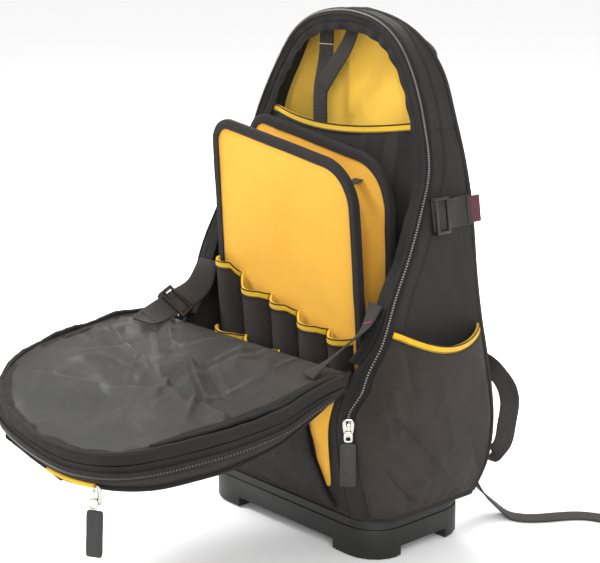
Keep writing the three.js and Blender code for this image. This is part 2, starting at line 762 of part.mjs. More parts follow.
function sidePocket(mirror, side) {
  const edgeTop = (u) => lerp(sidePocketFrontTop, sidePocketBackTop, u) - sidePocketSag * Math.sin(halfTurn * u);
  const face = (u, v, rise = 0) => {
    const z = lerp(sidePocketLow, edgeTop(u) - bindingWidth, v) + rise;
    const front = zipRun(z) + zipWidth / 2 + cloth * 2;
    const back = runLength(z) - cloth * 2;
    const out = sidePocketSwell * swellAt(v) * Math.sin(halfTurn * u) ** 0.75;
    const { point } = gussetAt(shareAtHeight(z), lerp(front, back, u), seamGap * 1.5 + out);
    point.x *= mirror;
    return point;
  };
  const order = mirror > 0 ? range(10) : range(10, 1, 0);
  const rows = range(9).map((v) => order.map((u) => face(u, v)));
  add(`side_pocket_${side}`, wall(rows, 0, cloth), colours.black);
  const trim = [seamGap, bindingWidth].map((rise) => order.map((u) => face(u, 1, rise)));
  add(`side_pocket_${side}_binding`, wall(trim, -bindingExtra / 4, cloth + bindingExtra), colours.trim);
}

// Front pocket: a mesh face with cloth edges, and the yellow lining that shows beside it.
const frontPocketLow = 47;
const frontPocketTop = hingeHeight - 27;
const frontPocketLeft = -104;
const frontPocketRight = 62;
const frontPocketEdge = 15;
const frontPocketSwell = 6;
const frontLiningLow = 72;
const frontLiningTop = hingeHeight - 22;
const frontLiningWidth = 30;

function frontPocket() {
  const face = (x, z) => {
    const u = THREE.MathUtils.clamp((x - frontPocketLeft) / (frontPocketRight - frontPocketLeft), 0, 1);
    const v = THREE.MathUtils.clamp((z - frontPocketLow) / (frontPocketTop - frontPocketLow), 0, 1);
    const out = frontPocketSwell * Math.sin(halfTurn * v) ** 0.6 * (0.35 + 0.65 * u);
    return V(x, frontAt(z) - seamGap - out, z);
  };
  const grid = (x0, x1, columns) =>
    range(7, frontPocketLow, frontPocketTop).map((z) => range(columns, x0, x1).map((x) => face(x, z)));
  const edges = cloth + 1;
  add("front_pocket_mesh", wall(grid(frontPocketLeft, frontPocketRight, 7), 0, cloth), colours.black);
  const rightOf = frontPocketRight + seamGap;
  add("front_pocket_edge_right", wall(grid(rightOf, rightOf + frontPocketEdge, 2), 0, edges), colours.black);
  const leftOf = frontPocketLeft - seamGap;
  add("front_pocket_edge_left", wall(grid(leftOf - frontPocketEdge, leftOf, 2), 0, edges), colours.black);

  const foldRows = range(7).map((v) => {
    const z = lerp(frontLiningLow, frontLiningTop, v);
    const inner = rightOf + frontPocketEdge + seamGap * 2;
    const outer = inner + frontLiningWidth * (0.1 + 0.9 * v ** 0.7);
    return range(4).map((u) => V(lerp(inner, outer, u), frontAt(z) - seamGap - 5 * Math.sin(halfTurn * u) * v, z));
  });
  add("front_pocket_lining", wall(foldRows, 0, liningCloth), colours.yellow);
}

// The flap, let down: a shallow tray of cloth round a slack lining.
const flapAt = {
  rise: reader(flapShape, "out", "rise"),
  depth: reader(flapShape, "out", "depth"),
};
const flapOutline = new THREE.SplineCurve([
  ...flapShape.map(({ out, half }) => new THREE.Vector2(half, out)),
  ...flapShape.slice(0, -1).reverse().map(({ out, half }) => new THREE.Vector2(-half, out)),
]);
flapOutline.arcLengthDivisions = 400;
const flapHingeY = frontAt(hingeHeight) - hingeClearance;
const flapDepthAt = (out) => flapAt.depth(out) * flapDepth;
const hingeSlope = 0.3;

// A place on the flap: x as a share of its half width, out from the hinge, and a drop below its rim.
function flapPoint(sideways, out, drop) {
  const x = sideways * flapHalfWidth;
  const y = out * flapReach;
  const turned = V(x * Math.cos(flapYaw) + y * Math.sin(flapYaw), -y * Math.cos(flapYaw) + x * Math.sin(flapYaw), 0);
  const hinge = 1 - THREE.MathUtils.smoothstep(out, 0, 0.12);
  const squared = x * Math.sin(flapYaw) * hinge;
  const roll = flapRoll * sideways * THREE.MathUtils.smoothstep(out, 0, 0.35);
  const z = hingeHeight + cloth + flapAt.rise(out) * flapDepth - roll - drop;
  return V(turned.x, turned.y + flapHingeY - squared - hinge * hingeSlope * drop, z);
}

function flapRim(share, inset, drop) {
  const p = flapOutline.getPointAt(share);
  const tangent = flapOutline.getTangentAt(share);
  const inward = new THREE.Vector2(-tangent.y * flapReach, tangent.x * flapHalfWidth).normalize();
  if (p.y < 0.1) inward.set(-Math.sign(p.x), 0);
  const sideways = p.x + (inward.x * inset) / flapHalfWidth;
  return flapPoint(sideways, Math.max(p.y + (inward.y * inset) / flapReach, 0), drop);
}

const flapShares = [...range(17, 0, 0.5), ...range(17, 0.5, 1).slice(1)];
const flapMiddle = 0.86;
const liningInset = flapBandThickness + seamGap * 2;
const liningDip = 6;

function flapShell() {
  const start = flapBandHeight + seamGap * 2;
  const rows = flapShares.map((share) => {
    const out = flapOutline.getPointAt(share).y;
    const depth = flapDepthAt(out);
    const rim = flapRim(share, 0, start);
    const low = flapRim(share, 7, depth);
    const belly = flapRim(share, -1.5, lerp(start, depth, 0.5));
    const middle = out * flapMiddle;
    const inner = flapPoint(0, middle, flapDepthAt(middle));
    return [rim, belly, low, low.clone().lerp(inner, 0.5), inner];
  });
  add("flap_shell", wall(rows, 0, cloth), colours.black);
}

function flapBand() {
  const rows = flapShares.map((share) => [flapRim(share, 0, 0), flapRim(share, 0, flapBandHeight)]);
  add("flap_rim_band", wall(rows, 0, flapBandThickness), colours.black);
}

function flapLining() {
  const rows = flapShares.map((share) => {
    const p = flapOutline.getPointAt(share);
    const rim = flapRim(share, p.y < 0.1 ? liningInset * 1.7 : liningInset, 0);
    const inner = flapPoint(0, p.y * flapMiddle, 0);
    return range(4).map((w) => {
      const at = rim.clone().lerp(inner, w);
      at.z -= liningCloth + liningDip * Math.sin((halfTurn / 2) * w) * Math.min(1, p.y * 5);
      return at;
    });
  });
  add("flap_lining", wall(rows, 0, -liningCloth), colours.lining);
}

function flapZip() {
  const path = range(34, 0.05, 0.95).map((share) => {
    const depth = flapDepthAt(flapOutline.getPointAt(share).y);
    const drop = lerp(flapBandHeight, depth, 0.22) + zipWidth / 2;
    return flapRim(share, -zipThickness / 2 - seamRoom * 2, drop);
  });
  add("flap_zip", webbing(path, V(0, 0, 1), zipWidth, zipThickness), colours.black);
}

// The flap's outside pocket, under its far end: a line of piping, and a slider hanging at its right end.
const pipingWidth = 4;

function flapPocketTrim() {
  const drop = (share) => flapDepthAt(flapOutline.getPointAt(share).y) - pipingWidth;
  const path = range(8, 0.334, 0.435).map((share) => flapRim(share, pipingWidth / 4, drop(share)));
  add("flap_piping", webbing(path, V(0, 0, 1), pipingWidth, zipThickness), colours.trim);
  const share = 0.322;
  const at = flapRim(share, -seamGap * 4 - sliderThickness / 2, drop(share) + pipingWidth);
  slider("flap_pocket", at, -halfTurn / 10);
}

// A ladder-lock buckle: side rails, two bars behind the strap and one in front of it.
const barWidth = 3;
const barThickness = 1.8;
const barSpread = 7;
const strapRoom = 1.2;

function buckle(name, at, across, along, width = webWidth) {
  const out = across.clone().cross(along).normalize();
  const square = out.clone().cross(across).normalize();
  const railOut = width / 2 + strapRoom + barWidth / 2;
  const barOut = (webThickness + barThickness) / 2 + strapRoom;
  const length = 2 * railOut;
  const railHeight = 2 * barOut + barThickness;
  const rails = [-1, 1].map((s) => boxSolid(barWidth, 2 * barSpread + barWidth, railHeight, V(s * railOut, 0, 0)));
  const behind = [-1, 1].map((s) => boxSolid(length, barWidth, barThickness, V(0, s * barSpread, -barOut)));
  const front = boxSolid(length, barWidth, barThickness, V(0, 0, barOut));
  const frame = [...rails, ...behind].reduce((all, one) => all.add(one), front);
  const mesh = add(name, geometryOf(frame), colours.plastic);
  mesh.quaternion.setFromRotationMatrix(new THREE.Matrix4().makeBasis(across.clone().normalize(), square, out));
  mesh.position.copy(at);
}

const buckleLift = webThickness / 2 + barThickness + strapRoom + seamGap * 2;

// Compression strap on each side, with a plain tab at its rear end.
const compressionHeight = 324;
const compressionWidth = 25;
const tabLength = 13;
const tabThickness = 2;

function compressionStrap(mirror, side) {
  const share = shareAtHeight(compressionHeight);
  const onSide = (run, lift) => {
    const { point } = gussetAt(share, run, lift);
    point.x *= mirror;
    return point;
  };
  const end = runLength(compressionHeight);
  const start = zipRun(compressionHeight) + zipWidth + seamRoom * 2.6;
  const buckleRun = start + barSpread + barWidth;
  const low = webThickness / 2 + seamGap;
  const { point: lower } = gussetAt(shareAtHeight(compressionHeight - webWidth / 2), buckleRun);
  const { point: upper } = gussetAt(shareAtHeight(compressionHeight + webWidth / 2), buckleRun);
  const across = V((upper.x - lower.x) * mirror, 0, upper.z - lower.z).normalize();
  buckle(`compression_buckle_${side}`, onSide(buckleRun, buckleLift), across, V(0, mirror, 0));
  const path = [
    onSide(start, buckleLift),
    onSide(buckleRun + barSpread + barWidth, buckleLift),
    onSide(lerp(buckleRun, end, 0.62), low),
    onSide(end, low),
  ];
  const strap = smoothPath(path, 12);
  add(`compression_strap_${side}`, webbing(strap, across, compressionWidth, webThickness), colours.black);
  const tab = range(2, end + seamGap, end + tabLength).map((run) => onSide(run, low));
  add(`compression_tab_${side}`, webbing(tab, across, compressionWidth, tabThickness), colours.maroon);
}

// Stay straps that hold the flap level: sewn inside the opening's edges and inside the flap's rim.
const stayRise = 60;
const stayHigh = hingeHeight + stayRise;

// Where each ends on the flap, as shares of its half width and reach, its width as a share of webWidth, its sag,
// and how its middle is turned.
const stays = [
  { side: "left", mirror: -1, sideways: 0.78, out: 0.27, wide: 1, sag: 17, turn: { x: 0.66, y: -0.35, z: 0.62 } },
  { side: "right", mirror: 1, sideways: 0.8, out: 0.13, wide: 0.8, sag: 12, turn: { x: 0.8, y: -0.3, z: 0.5 } },
];

// How the sag is spread along a stay.
const staySag = [
  { share: 0.16, drop: 1 },
  { share: 0.45, drop: 0.8 },
  { share: 0.75, drop: 0.4 },
];

function stayStrap({ side, mirror, sideways, out, wide, sag, turn }) {
  const steps = 14;
  const width = wide * webWidth;
  const { x } = rimAt(shareAtHeight(stayHigh));
  const inside = x - cornerAt(stayHigh) - seamRoom - width / 2;
  const start = V(mirror * inside, frontAt(stayHigh) - cloth - webThickness - seamGap, stayHigh);
  const end = flapPoint(mirror * sideways, out, liningDip / 2 - webThickness - seamGap * 3);
  const middle = staySag.map(({ share, drop }) => start.clone().lerp(end, share).sub(V(0, 0, drop * sag)));
  const path = smoothPath([start, ...middle, end], steps);
  const flat = V(mirror, 0, 0);
  const turned = V(mirror * turn.x, turn.y, turn.z).normalize();
  const across = path.map((_, i) => flat.clone().lerp(turned, Math.sin((halfTurn * i) / steps) ** 0.6));
  add(`stay_strap_${side}`, webbing(path, across, width, webThickness), colours.black);
  return { path, across };
}

function stayStraps() {
  const [left] = stays.map(stayStrap);
  const k = Math.round(left.path.length * 0.55);
  buckle("stay_buckle_left", left.path[k], left.across[k], left.path[k - 1].clone().sub(left.path[k + 1]));
}

// Carry handle: a thick loop of webbing behind the top.
const handleHeight = 448;
const handleHalf = 62;
const handleRise = 24;
const handleWidth = 18;
const handleThickness = 3.5;
const handleTuck = 0.6;

function carryHandle() {
  const y = backSurfaceAt(handleHalf, handleHeight) - handleTuck + handleWidth / 2;
  const right = [
    V(handleHalf, y, handleHeight),
    V(handleHalf + 1, y, handleHeight + handleRise * 0.45),
    V(handleHalf * 0.82, y, handleHeight + handleRise * 0.86),
    V(handleHalf * 0.42, y, handleHeight + handleRise),
  ];
  const left = right.map((p) => V(-p.x, p.y, p.z)).reverse();
  const path = smoothPath([...right, V(0, y, handleHeight + handleRise), ...left], 20);
  add("carry_handle", webbing(path, V(0, 1, 0), handleWidth, handleThickness), colours.black);
}

// Shoulder straps: a pad down the back, a buckle at its lower end, the lower webbing and its free tail.
// Along the pad, in shares: sideways of bodyHalfWidth, up of bagHeight, and its stand off the back of padThickness.
const padPath = [
  { side: 0.27, up: 0.872, stand: 0 },
  { side: 0.29, up: 0.81, stand: 0.25 },
  { side: 0.33, up: 0.7, stand: 0.75 },
  { side: 0.4, up: 0.58, stand: 1 },
  { side: 0.5, up: 0.46, stand: 0.667 },
  { side: 0.57, up: 0.38, stand: 0.333 },
];
const lowerWebWidth = 20;
const webCorner = 60;

// How the lower webbing bows out beside the body, in shares: sideways of bodyHalfWidth, up of bagHeight,
// and its stand off the back of webThickness.
const webBow = [
  { out: 1.02, up: 0.308, stand: 1.25 },
  { out: 1.09, up: 0.276, stand: 1.25 },
  { out: 1.07, up: 0.224, stand: 1.875 },
  { out: 1.0, up: 0.168, stand: 3.75 },
];
const lockDrop = 16;
const tailRoom = 0.5;

function shoulderStrap(mirror, side) {
  const rear = (z) => backAt(z) + backEdge + backPadding + seamGap + padThickness / 2;
  const path = smoothPath(
    padPath.map(({ side: share, up, stand }) => {
      const z = up * bagHeight;
      return V(mirror * share * bodyHalfWidth, rear(z) + stand * padThickness, z);
    }),
    18,
  );
  add(`shoulder_pad_${side}`, webbing(path, V(1, 0, 0), padWidth, padThickness), colours.black);

  const padEnd = path[path.length - 1];
  const lock = padEnd.clone().add(V(mirror * 3, 2, -lockDrop));
  const along = V(0, 0, -mirror);
  buckle(`shoulder_lock_${side}`, lock, V(mirror, 0, 0), along, lowerWebWidth);

  const steps = 18;
  const top = lock.clone().add(V(mirror * (lowerWebWidth / 2 + barWidth + seamRoom), 0, 0));
  const cornerX = rimAt(shareAtHeight(webCorner)).x - lowerWebWidth;
  const onBack = backFaceAt(webCorner, 1 - cornerX / (cornerX + lowerWebWidth)) + webThickness / 2 + seamGap * 2;
  const corner = V(mirror * cornerX, onBack, webCorner);
  const bow = webBow.map(({ out, up, stand }) =>
    V(mirror * out * bodyHalfWidth, onBack + stand * webThickness, up * bagHeight),
  );
  const loop = smoothPath([top, ...bow, corner], steps);
  const edgeOn = V(-0.1 * mirror, 1, 0);
  const across = loop.map((_, i) => {
    const leaving = V(0, 0, mirror).lerp(edgeOn, THREE.MathUtils.smoothstep(i, 1, 6));
    return leaving.lerp(V(0.8 * mirror, 0, 0.6), THREE.MathUtils.smoothstep(i, 12, 16));
  });
  add(`shoulder_webbing_${side}`, webbing(loop, across, lowerWebWidth, webThickness), colours.black);
  return lock;
}

// The right tail falls behind the corner and runs out over the floor; the left one hangs straight.
// Sideways as a share of bodyHalfWidth, back as a share of bodyDepth, lift off the floor as a share of baseHeight.
const tailFall = { side: 0.543, back: 0.539, lift: 3.07 };
const rightTailRoute = [
  tailFall,
  { side: 0.571, back: 0.551, lift: 1.7 },
  { side: 0.7, back: 0.633, lift: 0.65 },
  { side: 0.829, back: 0.671, lift: 0.24 },
  { side: 0.929, back: 0.7, lift: 0.03 },
  { side: 1.021, back: 0.729, lift: 0 },
  { side: 1.114, back: 0.812, lift: 0 },
  { side: 1.186, back: 0.912, lift: 0 },
  { side: 1.271, back: 1.006, lift: 0 },
  { side: 1.386, back: 1.065, lift: 0 },
  { side: 1.471, back: 1.082, lift: 0 },
];
const leftTailRoute = [tailFall, { side: 0.557, back: 0.551, lift: 1.28 }];

function shoulderTail(mirror, side, lock, route, steps) {
  const flat = webThickness / 2 + tailRoom;
  const through = [lock.clone().add(V(0, 0, barSpread)), lock.clone().add(V(0, 1, -2 * barSpread))];
  const free = route.map(({ side: share, back, lift }) =>
    V(mirror * share * bodyHalfWidth, back * bodyDepth, flat + lift * baseHeight),
  );
  const path = smoothPath([...through, ...free], steps);
  const lay = (p) => V(1, 0, 0).lerp(V(0.8, -0.6, 0), 1 - THREE.MathUtils.smoothstep(p.z, 2, 60));
  const across = path.map((p) => (mirror > 0 ? lay(p) : V(1, 0, 0)));
  add(`shoulder_tail_${side}`, webbing(path, across, lowerWebWidth, webThickness), colours.black);
}

add("base_tray", base(), colours.plastic);
body();
opening();
mainSlider();
const [frontDivider] = dividers.map(divider);
dividerLinks();
pocketRows.forEach((row) => pocketRow(row, frontDivider));
backPocket();
levelStraps();
sidePocket(1, "right");
sidePocket(-1, "left");
frontPocket();
flapShell();
flapBand();
flapLining();
flapZip();
flapPocketTrim();
stayStraps();
compressionStrap(1, "right");
compressionStrap(-1, "left");
carryHandle();
const rightLock = shoulderStrap(1, "right");
const leftLock = shoulderStrap(-1, "left");
shoulderTail(1, "right", rightLock, rightTailRoute, 34);
shoulderTail(-1, "left", leftLock, leftTailRoute, 12);

// The origin lies on the floor, under the middle of the whole bag.
const extent = new THREE.Box3().setFromObject(backpack);
const middle = extent.getCenter(V(0, 0, 0));
backpack.position.set(-middle.x, -middle.y, -extent.min.z);

export default backpack;
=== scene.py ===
# Dresses the tool backpack: sewn cloth panels with folds, bindings and stitches, zip teeth, webbing,
# buckles and a moulded base. Shapes are worked out in millimetres and built in metres.
import math

import bmesh
import bpy
import numpy as np
from mathutils import Matrix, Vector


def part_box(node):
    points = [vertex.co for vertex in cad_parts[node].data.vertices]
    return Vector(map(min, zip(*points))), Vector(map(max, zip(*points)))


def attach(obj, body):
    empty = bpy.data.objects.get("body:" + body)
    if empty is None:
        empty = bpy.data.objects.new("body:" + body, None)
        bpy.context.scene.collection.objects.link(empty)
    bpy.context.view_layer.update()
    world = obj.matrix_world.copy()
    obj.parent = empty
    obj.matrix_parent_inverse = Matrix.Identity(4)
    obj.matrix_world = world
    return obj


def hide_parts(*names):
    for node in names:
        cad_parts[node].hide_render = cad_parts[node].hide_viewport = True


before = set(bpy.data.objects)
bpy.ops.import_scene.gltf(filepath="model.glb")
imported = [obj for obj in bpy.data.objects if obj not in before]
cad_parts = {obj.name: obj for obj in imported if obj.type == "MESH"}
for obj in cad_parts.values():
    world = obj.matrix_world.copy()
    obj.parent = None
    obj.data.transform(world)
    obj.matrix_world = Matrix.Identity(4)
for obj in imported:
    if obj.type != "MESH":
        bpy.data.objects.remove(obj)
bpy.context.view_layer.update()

# Sizes shared with the solids, in millimetres.
BAG_HEIGHT = 500
HALF_WIDTH = 140
DEPTH = 170
BASE_HEIGHT = 38
BASE_CORNER = 36
BODY_HEIGHT = BAG_HEIGHT - BASE_HEIGHT
CLOTH = 2.0
GAP = 0.4
ROOM = 1.3
FLANGE_WIDTH = 12
ZIP_END = 155
ZIP_WIDTH = 5
BINDING = 7
BINDING_EXTRA = 0.8
BACK_EDGE = 4
BACK_PADDING = 8
HINGE = 190
FLAP_REACH = 250
FLAP_HALF = 136
FLAP_DEPTH = 40
FLAP_ROLL = 14
FLAP_YAW = -0.07
FLAP_BAND = 9
FLAP_BAND_THICK = 3
HINGE_CLEARANCE = 0.9
HINGE_SLOPE = 0.3
HINGE_EASE = 0.12  # how far out, as a share, the flap straightens from its hinge,
ROLL_EASE = 0.35  # and takes on its roll
ARCH_EASE = (0.45, 0.7)  # heights, as shares, between which the rim's inward direction turns with the arch
ZIP_TURN = 0.5  # the zip's place round the body's corner, as an angle, below ZIP_END
BULGE_STEEP = 1.6
WEB = 25
WEB_THICK = 1.6

# Sizes that only the cloth has, in millimetres.
TUCK = 1.8  # how far the walls' lower edge goes down into the tub,
TUCK_HEIGHT = 10  # and over what height
PANEL_OVERLAP = 0.6  # between neighbouring panels of the walls
BACK_OVERLAP = 2.6  # of the sides, under the back's piping
SIDE_SEAM = 17  # from the zip to the seam beside it
FLANGE_OVERLAP = 2.5  # of the opening's flange, under the zip
FLAP_TURN = 7  # how far the flap's wall turns under its face
DRAWN_CLOTH = 1.4  # thickness of the pockets' cloth
CROWN = 0.4995  # the arch's middle as a share of its length, a little short of it

UPRIGHT = np.array([0, 0, 1.0])

# The arch seen from the front: up, half width.
ARCH = [
    (0, 0.885), (0.07, 0.945), (0.16, 0.98), (0.28, 1), (0.42, 1), (0.56, 0.982),
    (0.69, 0.917), (0.8, 0.805), (0.892, 0.655), (0.952, 0.497), (0.987, 0.29), (1, 0),
]
# The side seen from the right: up, front, corner, back.
SIDE = [
    (0, -0.371, 0.92, 0.4), (0.069, -0.47, 0.88, 0.455), (0.156, -0.562, 0.8, 0.462),
    (0.242, -0.606, 0.72, 0.42), (0.329, -0.54, 0.55, 0.36), (0.387, -0.43, 0.38, 0.32),
    (0.478, -0.325, 0.22, 0.275), (0.541, -0.235, 0.17, 0.259), (0.632, -0.11, 0.17, 0.253),
    (0.703, -0.02, 0.17, 0.245), (0.799, 0.02, 0.17, 0.24), (0.885, 0.048, 0.17, 0.258),
    (0.95, 0.058, 0.17, 0.225), (1, 0.062, 0.17, 0.165),
]
# The flap from its hinge to its tip: out, half width, rise, depth.
FLAP = [
    (0, 0.87, 0, 0.36), (0.045, 0.96, 0.08, 0.42), (0.12, 1, 0.15, 0.56), (0.2, 1, 0.13, 0.68),
    (0.32, 1, 0.02, 0.8), (0.5, 0.99, -0.12, 0.9), (0.66, 0.945, -0.22, 0.92), (0.79, 0.86, -0.36, 0.9),
    (0.89, 0.71, -0.52, 0.82), (0.96, 0.49, -0.64, 0.76), (0.99, 0.27, -0.69, 0.73), (1, 0, -0.7, 0.72),
]

# The solids' frame has its origin under the middle of the base.
low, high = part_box("base_tray")
SHIFT = np.array([(low.x + high.x) / 2, (low.y + high.y) / 2, 0.0]) * 1000

# The camera, in the same millimetres, and the photograph's frame.
AZIMUTH = math.radians(47.9)
ELEVATION = math.radians(13.87)
TARGET = np.array([-50.3, 0.0, 229.0])
DISTANCE = 1500.0
FOCAL = 1501.0
FRAME = (600, 563)
TOWARDS = np.array([
    math.sin(AZIMUTH) * math.cos(ELEVATION),
    -math.cos(AZIMUTH) * math.cos(ELEVATION),
    math.sin(ELEVATION),
])
EYE = TARGET + DISTANCE * TOWARDS
RIGHT = np.array([math.cos(AZIMUTH), math.sin(AZIMUTH), 0.0])
UP = np.cross(TOWARDS, RIGHT)


def pixel(points):
    """Where points fall in the photograph's frame."""
    away = points - EYE
    depth = -(away @ TOWARDS)
    x = FRAME[0] / 2 + FOCAL * (away @ RIGHT) / depth
    y = FRAME[1] / 2 - FOCAL * (away @ UP) / depth
    return x, y


# ---- curves and tables

def reader(table, column, at=0):
    """A smooth curve through one column of a table."""
    xs = np.array([row[at] for row in table], float)
    ys = np.array([row[column] for row in table], float)
    before = np.maximum(np.arange(len(xs)) - 1, 0)
    after = np.minimum(np.arange(len(xs)) + 1, len(xs) - 1)
    slopes = (ys[after] - ys[before]) / (xs[after] - xs[before])

    def read(x):
        x = np.asarray(x, float)
        i = np.clip(np.searchsorted(xs, x) - 1, 0, len(xs) - 2)
        span = xs[i + 1] - xs[i]
        s = np.clip((x - xs[i]) / span, 0, 1)
        return (
            ys[i] * (2 * s**3 - 3 * s**2 + 1)
            + slopes[i] * span * (s**3 - 2 * s**2 + s)
            + ys[i + 1] * (3 * s**2 - 2 * s**3)
            + slopes[i + 1] * span * (s**3 - s**2)
        )

    return read


def smoothstep(x, a, b):
    s = np.clip((np.asarray(x, float) - a) / (b - a), 0, 1)
    return s * s * (3 - 2 * s)


def faded(share, start, end):
    """1 in the middle of a run of shares from 0 to 1, and 0 at both its ends."""
    return smoothstep(share, 0, start) * smoothstep(1 - share, 0, end)


def unit(v):
    return v / np.maximum(np.linalg.norm(v, axis=-1, keepdims=True), 1e-9)


def heading(path):
    return unit(np.gradient(path, axis=0))


def squared(across, along):
    """Directions across a path, made square to its heading."""
    return unit(across - along * np.sum(across * along, -1, keepdims=True))


class Outline:
    """A smooth plane curve through points, read by its share of length."""

    def __init__(self, points, divisions):
        self.points = np.array(points, float)
        self.t = np.linspace(0, 1, divisions + 1)
        steps = np.linalg.norm(np.diff(self.raw(self.t), axis=0), axis=1)
        self.length = np.concatenate([[0], np.cumsum(steps)])

    def raw(self, t):
        p = self.points
        last = len(p) - 1
        s = np.asarray(t, float) * last
        i = np.clip(np.floor(s).astype(int), 0, last - 1)
        w = (s - i)[..., None]
        p0, p1 = p[np.maximum(i - 1, 0)], p[i]
        p2, p3 = p[i + 1], p[np.minimum(i + 2, last)]
        v0, v1 = (p2 - p0) / 2, (p3 - p1) / 2
        return (2 * p1 - 2 * p2 + v0 + v1) * w**3 + (3 * p2 - 3 * p1 - 2 * v0 - v1) * w**2 + v0 * w + p1

    def at(self, share):
        return self.raw(np.interp(np.asarray(share, float) * self.length[-1], self.length, self.t))

    def tangent(self, share):
        step = 1e-4
        share = np.asarray(share, float)
        return unit(self.at(np.clip(share + step, 0, 1)) - self.at(np.clip(share - step, 0, 1)))


half = [(h * HALF_WIDTH, BASE_HEIGHT + up * BODY_HEIGHT) for up, h in ARCH]
arch = Outline(half + [(-x, z) for x, z in half[-2::-1]], 600)
right_shares = np.linspace(0, 0.5, 800)
right_points = arch.at(right_shares)

side_front, side_corner, side_back = (reader(SIDE, k) for k in (1, 2, 3))


def up_at(z):
    return np.clip((np.asarray(z, float) - BASE_HEIGHT) / BODY_HEIGHT, 0, 1)


def front_at(z):
    return side_front(up_at(z)) * DEPTH


def back_at(z):
    return side_back(up_at(z)) * DEPTH


def corner_at(z):
    return side_corner(up_at(z)) * BASE_CORNER


def share_at(z):
    """The arch's share of length at which its right half reaches a height."""
    return np.interp(z, right_points[:, 1], right_shares)


def rim_at(share):
    """Across, height and inward direction along the arch."""
    p = arch.at(share)
    tangent = arch.tangent(share)
    side = np.where(np.asarray(share) < 0.5, -1.0, 1.0)
    bend = smoothstep(up_at(p[..., 1]), *ARCH_EASE)
    ix = (1 - bend) * side - bend * tangent[..., 1]
    iz = bend * tangent[..., 0]
    size = np.hypot(ix, iz)
    return p[..., 0], p[..., 1], ix / size, iz / size


def gusset(share, run, lift=0.0):
    """A point of the body's outer face at a run round its side from the front edge."""
    share, run = np.broadcast_arrays(np.asarray(share, float), np.asarray(run, float))
    x, z, ix, iz = rim_at(share)
    corner = corner_at(z)
    angle = np.minimum(run / corner, math.pi / 2)
    normal = np.stack([-ix * np.sin(angle), -np.cos(angle), -iz * np.sin(angle)], -1)
    centre = np.stack([x + ix * corner, front_at(z) + corner, z + iz * corner], -1)
    point = centre + normal * (corner + lift)[..., None]
    point[..., 1] += np.maximum(0, run - corner * math.pi / 2)
    return point, normal


def run_length(z):
    """The run from the front edge round the side to the back."""
    return corner_at(z) * math.pi / 2 + back_at(z) - ROOM * 1.5 - front_at(z) - corner_at(z)


def zip_run(z):
    """The run at which the main zip lies."""
    turn = ZIP_TURN + (math.pi / 4 - ZIP_TURN) * smoothstep(z, ZIP_END, HINGE - 10)
    return corner_at(z) * turn


def back_bulge(w):
    """How far the back's padding stands out; w is 0 at its edge and 1 in its middle."""
    return BACK_EDGE + BACK_PADDING * np.sin(math.pi / 2 * np.minimum(1, w * BULGE_STEEP))


flap_outline = Outline([(h, o) for o, h, _, _ in FLAP] + [(-h, o) for o, h, _, _ in FLAP[-2::-1]], 400)
flap_rise, flap_deep = reader(FLAP, 2), reader(FLAP, 3)
FLAP_HINGE_Y = float(front_at(HINGE)) - HINGE_CLEARANCE


def flap_point(sideways, out, drop):
    """A point of the lowered flap, as shares of its half width and reach, and how far it is below its rim."""
    sideways, out, drop = np.broadcast_arrays(*(np.asarray(v, float) for v in (sideways, out, drop)))
    x, y = sideways * FLAP_HALF, out * FLAP_REACH
    c, s = math.cos(FLAP_YAW), math.sin(FLAP_YAW)
    hinge = 1 - smoothstep(out, 0, HINGE_EASE)
    roll = FLAP_ROLL * sideways * smoothstep(out, 0, ROLL_EASE)
    z = HINGE + CLOTH + flap_rise(out) * FLAP_DEPTH - roll - drop
    y2 = -y * c + x * s + FLAP_HINGE_Y - x * s * hinge - hinge * HINGE_SLOPE * drop
    return np.stack([x * c + y * s, y2, z], -1)


def flap_rim(share, inset, drop):
    """A point along the flap's outline, moved in from it and down from its rim."""
    share, inset, drop = np.broadcast_arrays(*(np.asarray(v, float) for v in (share, inset, drop)))
    p = flap_outline.at(share)
    t = flap_outline.tangent(share)
    inward = unit(np.stack([-t[..., 1] * FLAP_REACH, t[..., 0] * FLAP_HALF], -1))
    straight = p[..., 1] < 0.1
    inward[..., 0] = np.where(straight, -np.sign(p[..., 0]), inward[..., 0])
    inward[..., 1] = np.where(straight, 0, inward[..., 1])
    sideways = p[..., 0] + inward[..., 0] * inset / FLAP_HALF
    return flap_point(sideways, np.maximum(p[..., 1] + inward[..., 1] * inset / FLAP_REACH, 0), drop)


def flap_depth(out):
    return flap_deep(out) * FLAP_DEPTH


def smooth_path(points, steps):
    """Evenly spaced points on a centripetal curve through points."""
    p = np.array(points, float)
    p = np.vstack([2 * p[0] - p[1], p, 2 * p[-1] - p[-2]])
    out = []
    for a, b, c, d in zip(p, p[1:], p[2:], p[3:]):
        k = [max(np.linalg.norm(v - u) ** 0.5, 1e-4) for u, v in ((a, b), (b, c), (c, d))]
        m1 = ((b - a) / k[0] - (c - a) / (k[0] + k[1]) + (c - b) / k[1]) * k[1]
        m2 = ((c - b) / k[1] - (d - b) / (k[1] + k[2]) + (d - c) / k[2]) * k[1]
        s = np.linspace(0, 1, 40, endpoint=False)[:, None]
        out.append((2 * b - 2 * c + m1 + m2) * s**3 + (3 * c - 3 * b - 2 * m1 - m2) * s**2 + m1 * s + b)
    return respace(np.vstack([*out, p[-2][None]]), steps)


def respace(path, steps):
    """The same path with its points at even distances."""
    length = np.concatenate([[0], np.cumsum(np.linalg.norm(np.diff(path, axis=0), axis=1))])
    at = np.linspace(0, length[-1], steps + 1)
    return np.stack([np.interp(at, length, path[:, k]) for k in range(3)], -1)


# ---- soft noise, for folds and slack

CREASE_POWER = 6
CREASE_SINK = 0.3
# Ledges: how fast they fade with distance, where they drop, in pixels, and where their ends fade, in shares.
LEDGE_POWER = 1.3
LEDGE_DROP = (-1.5, 2.0)
LEDGE_END = (-0.15, 0.05)


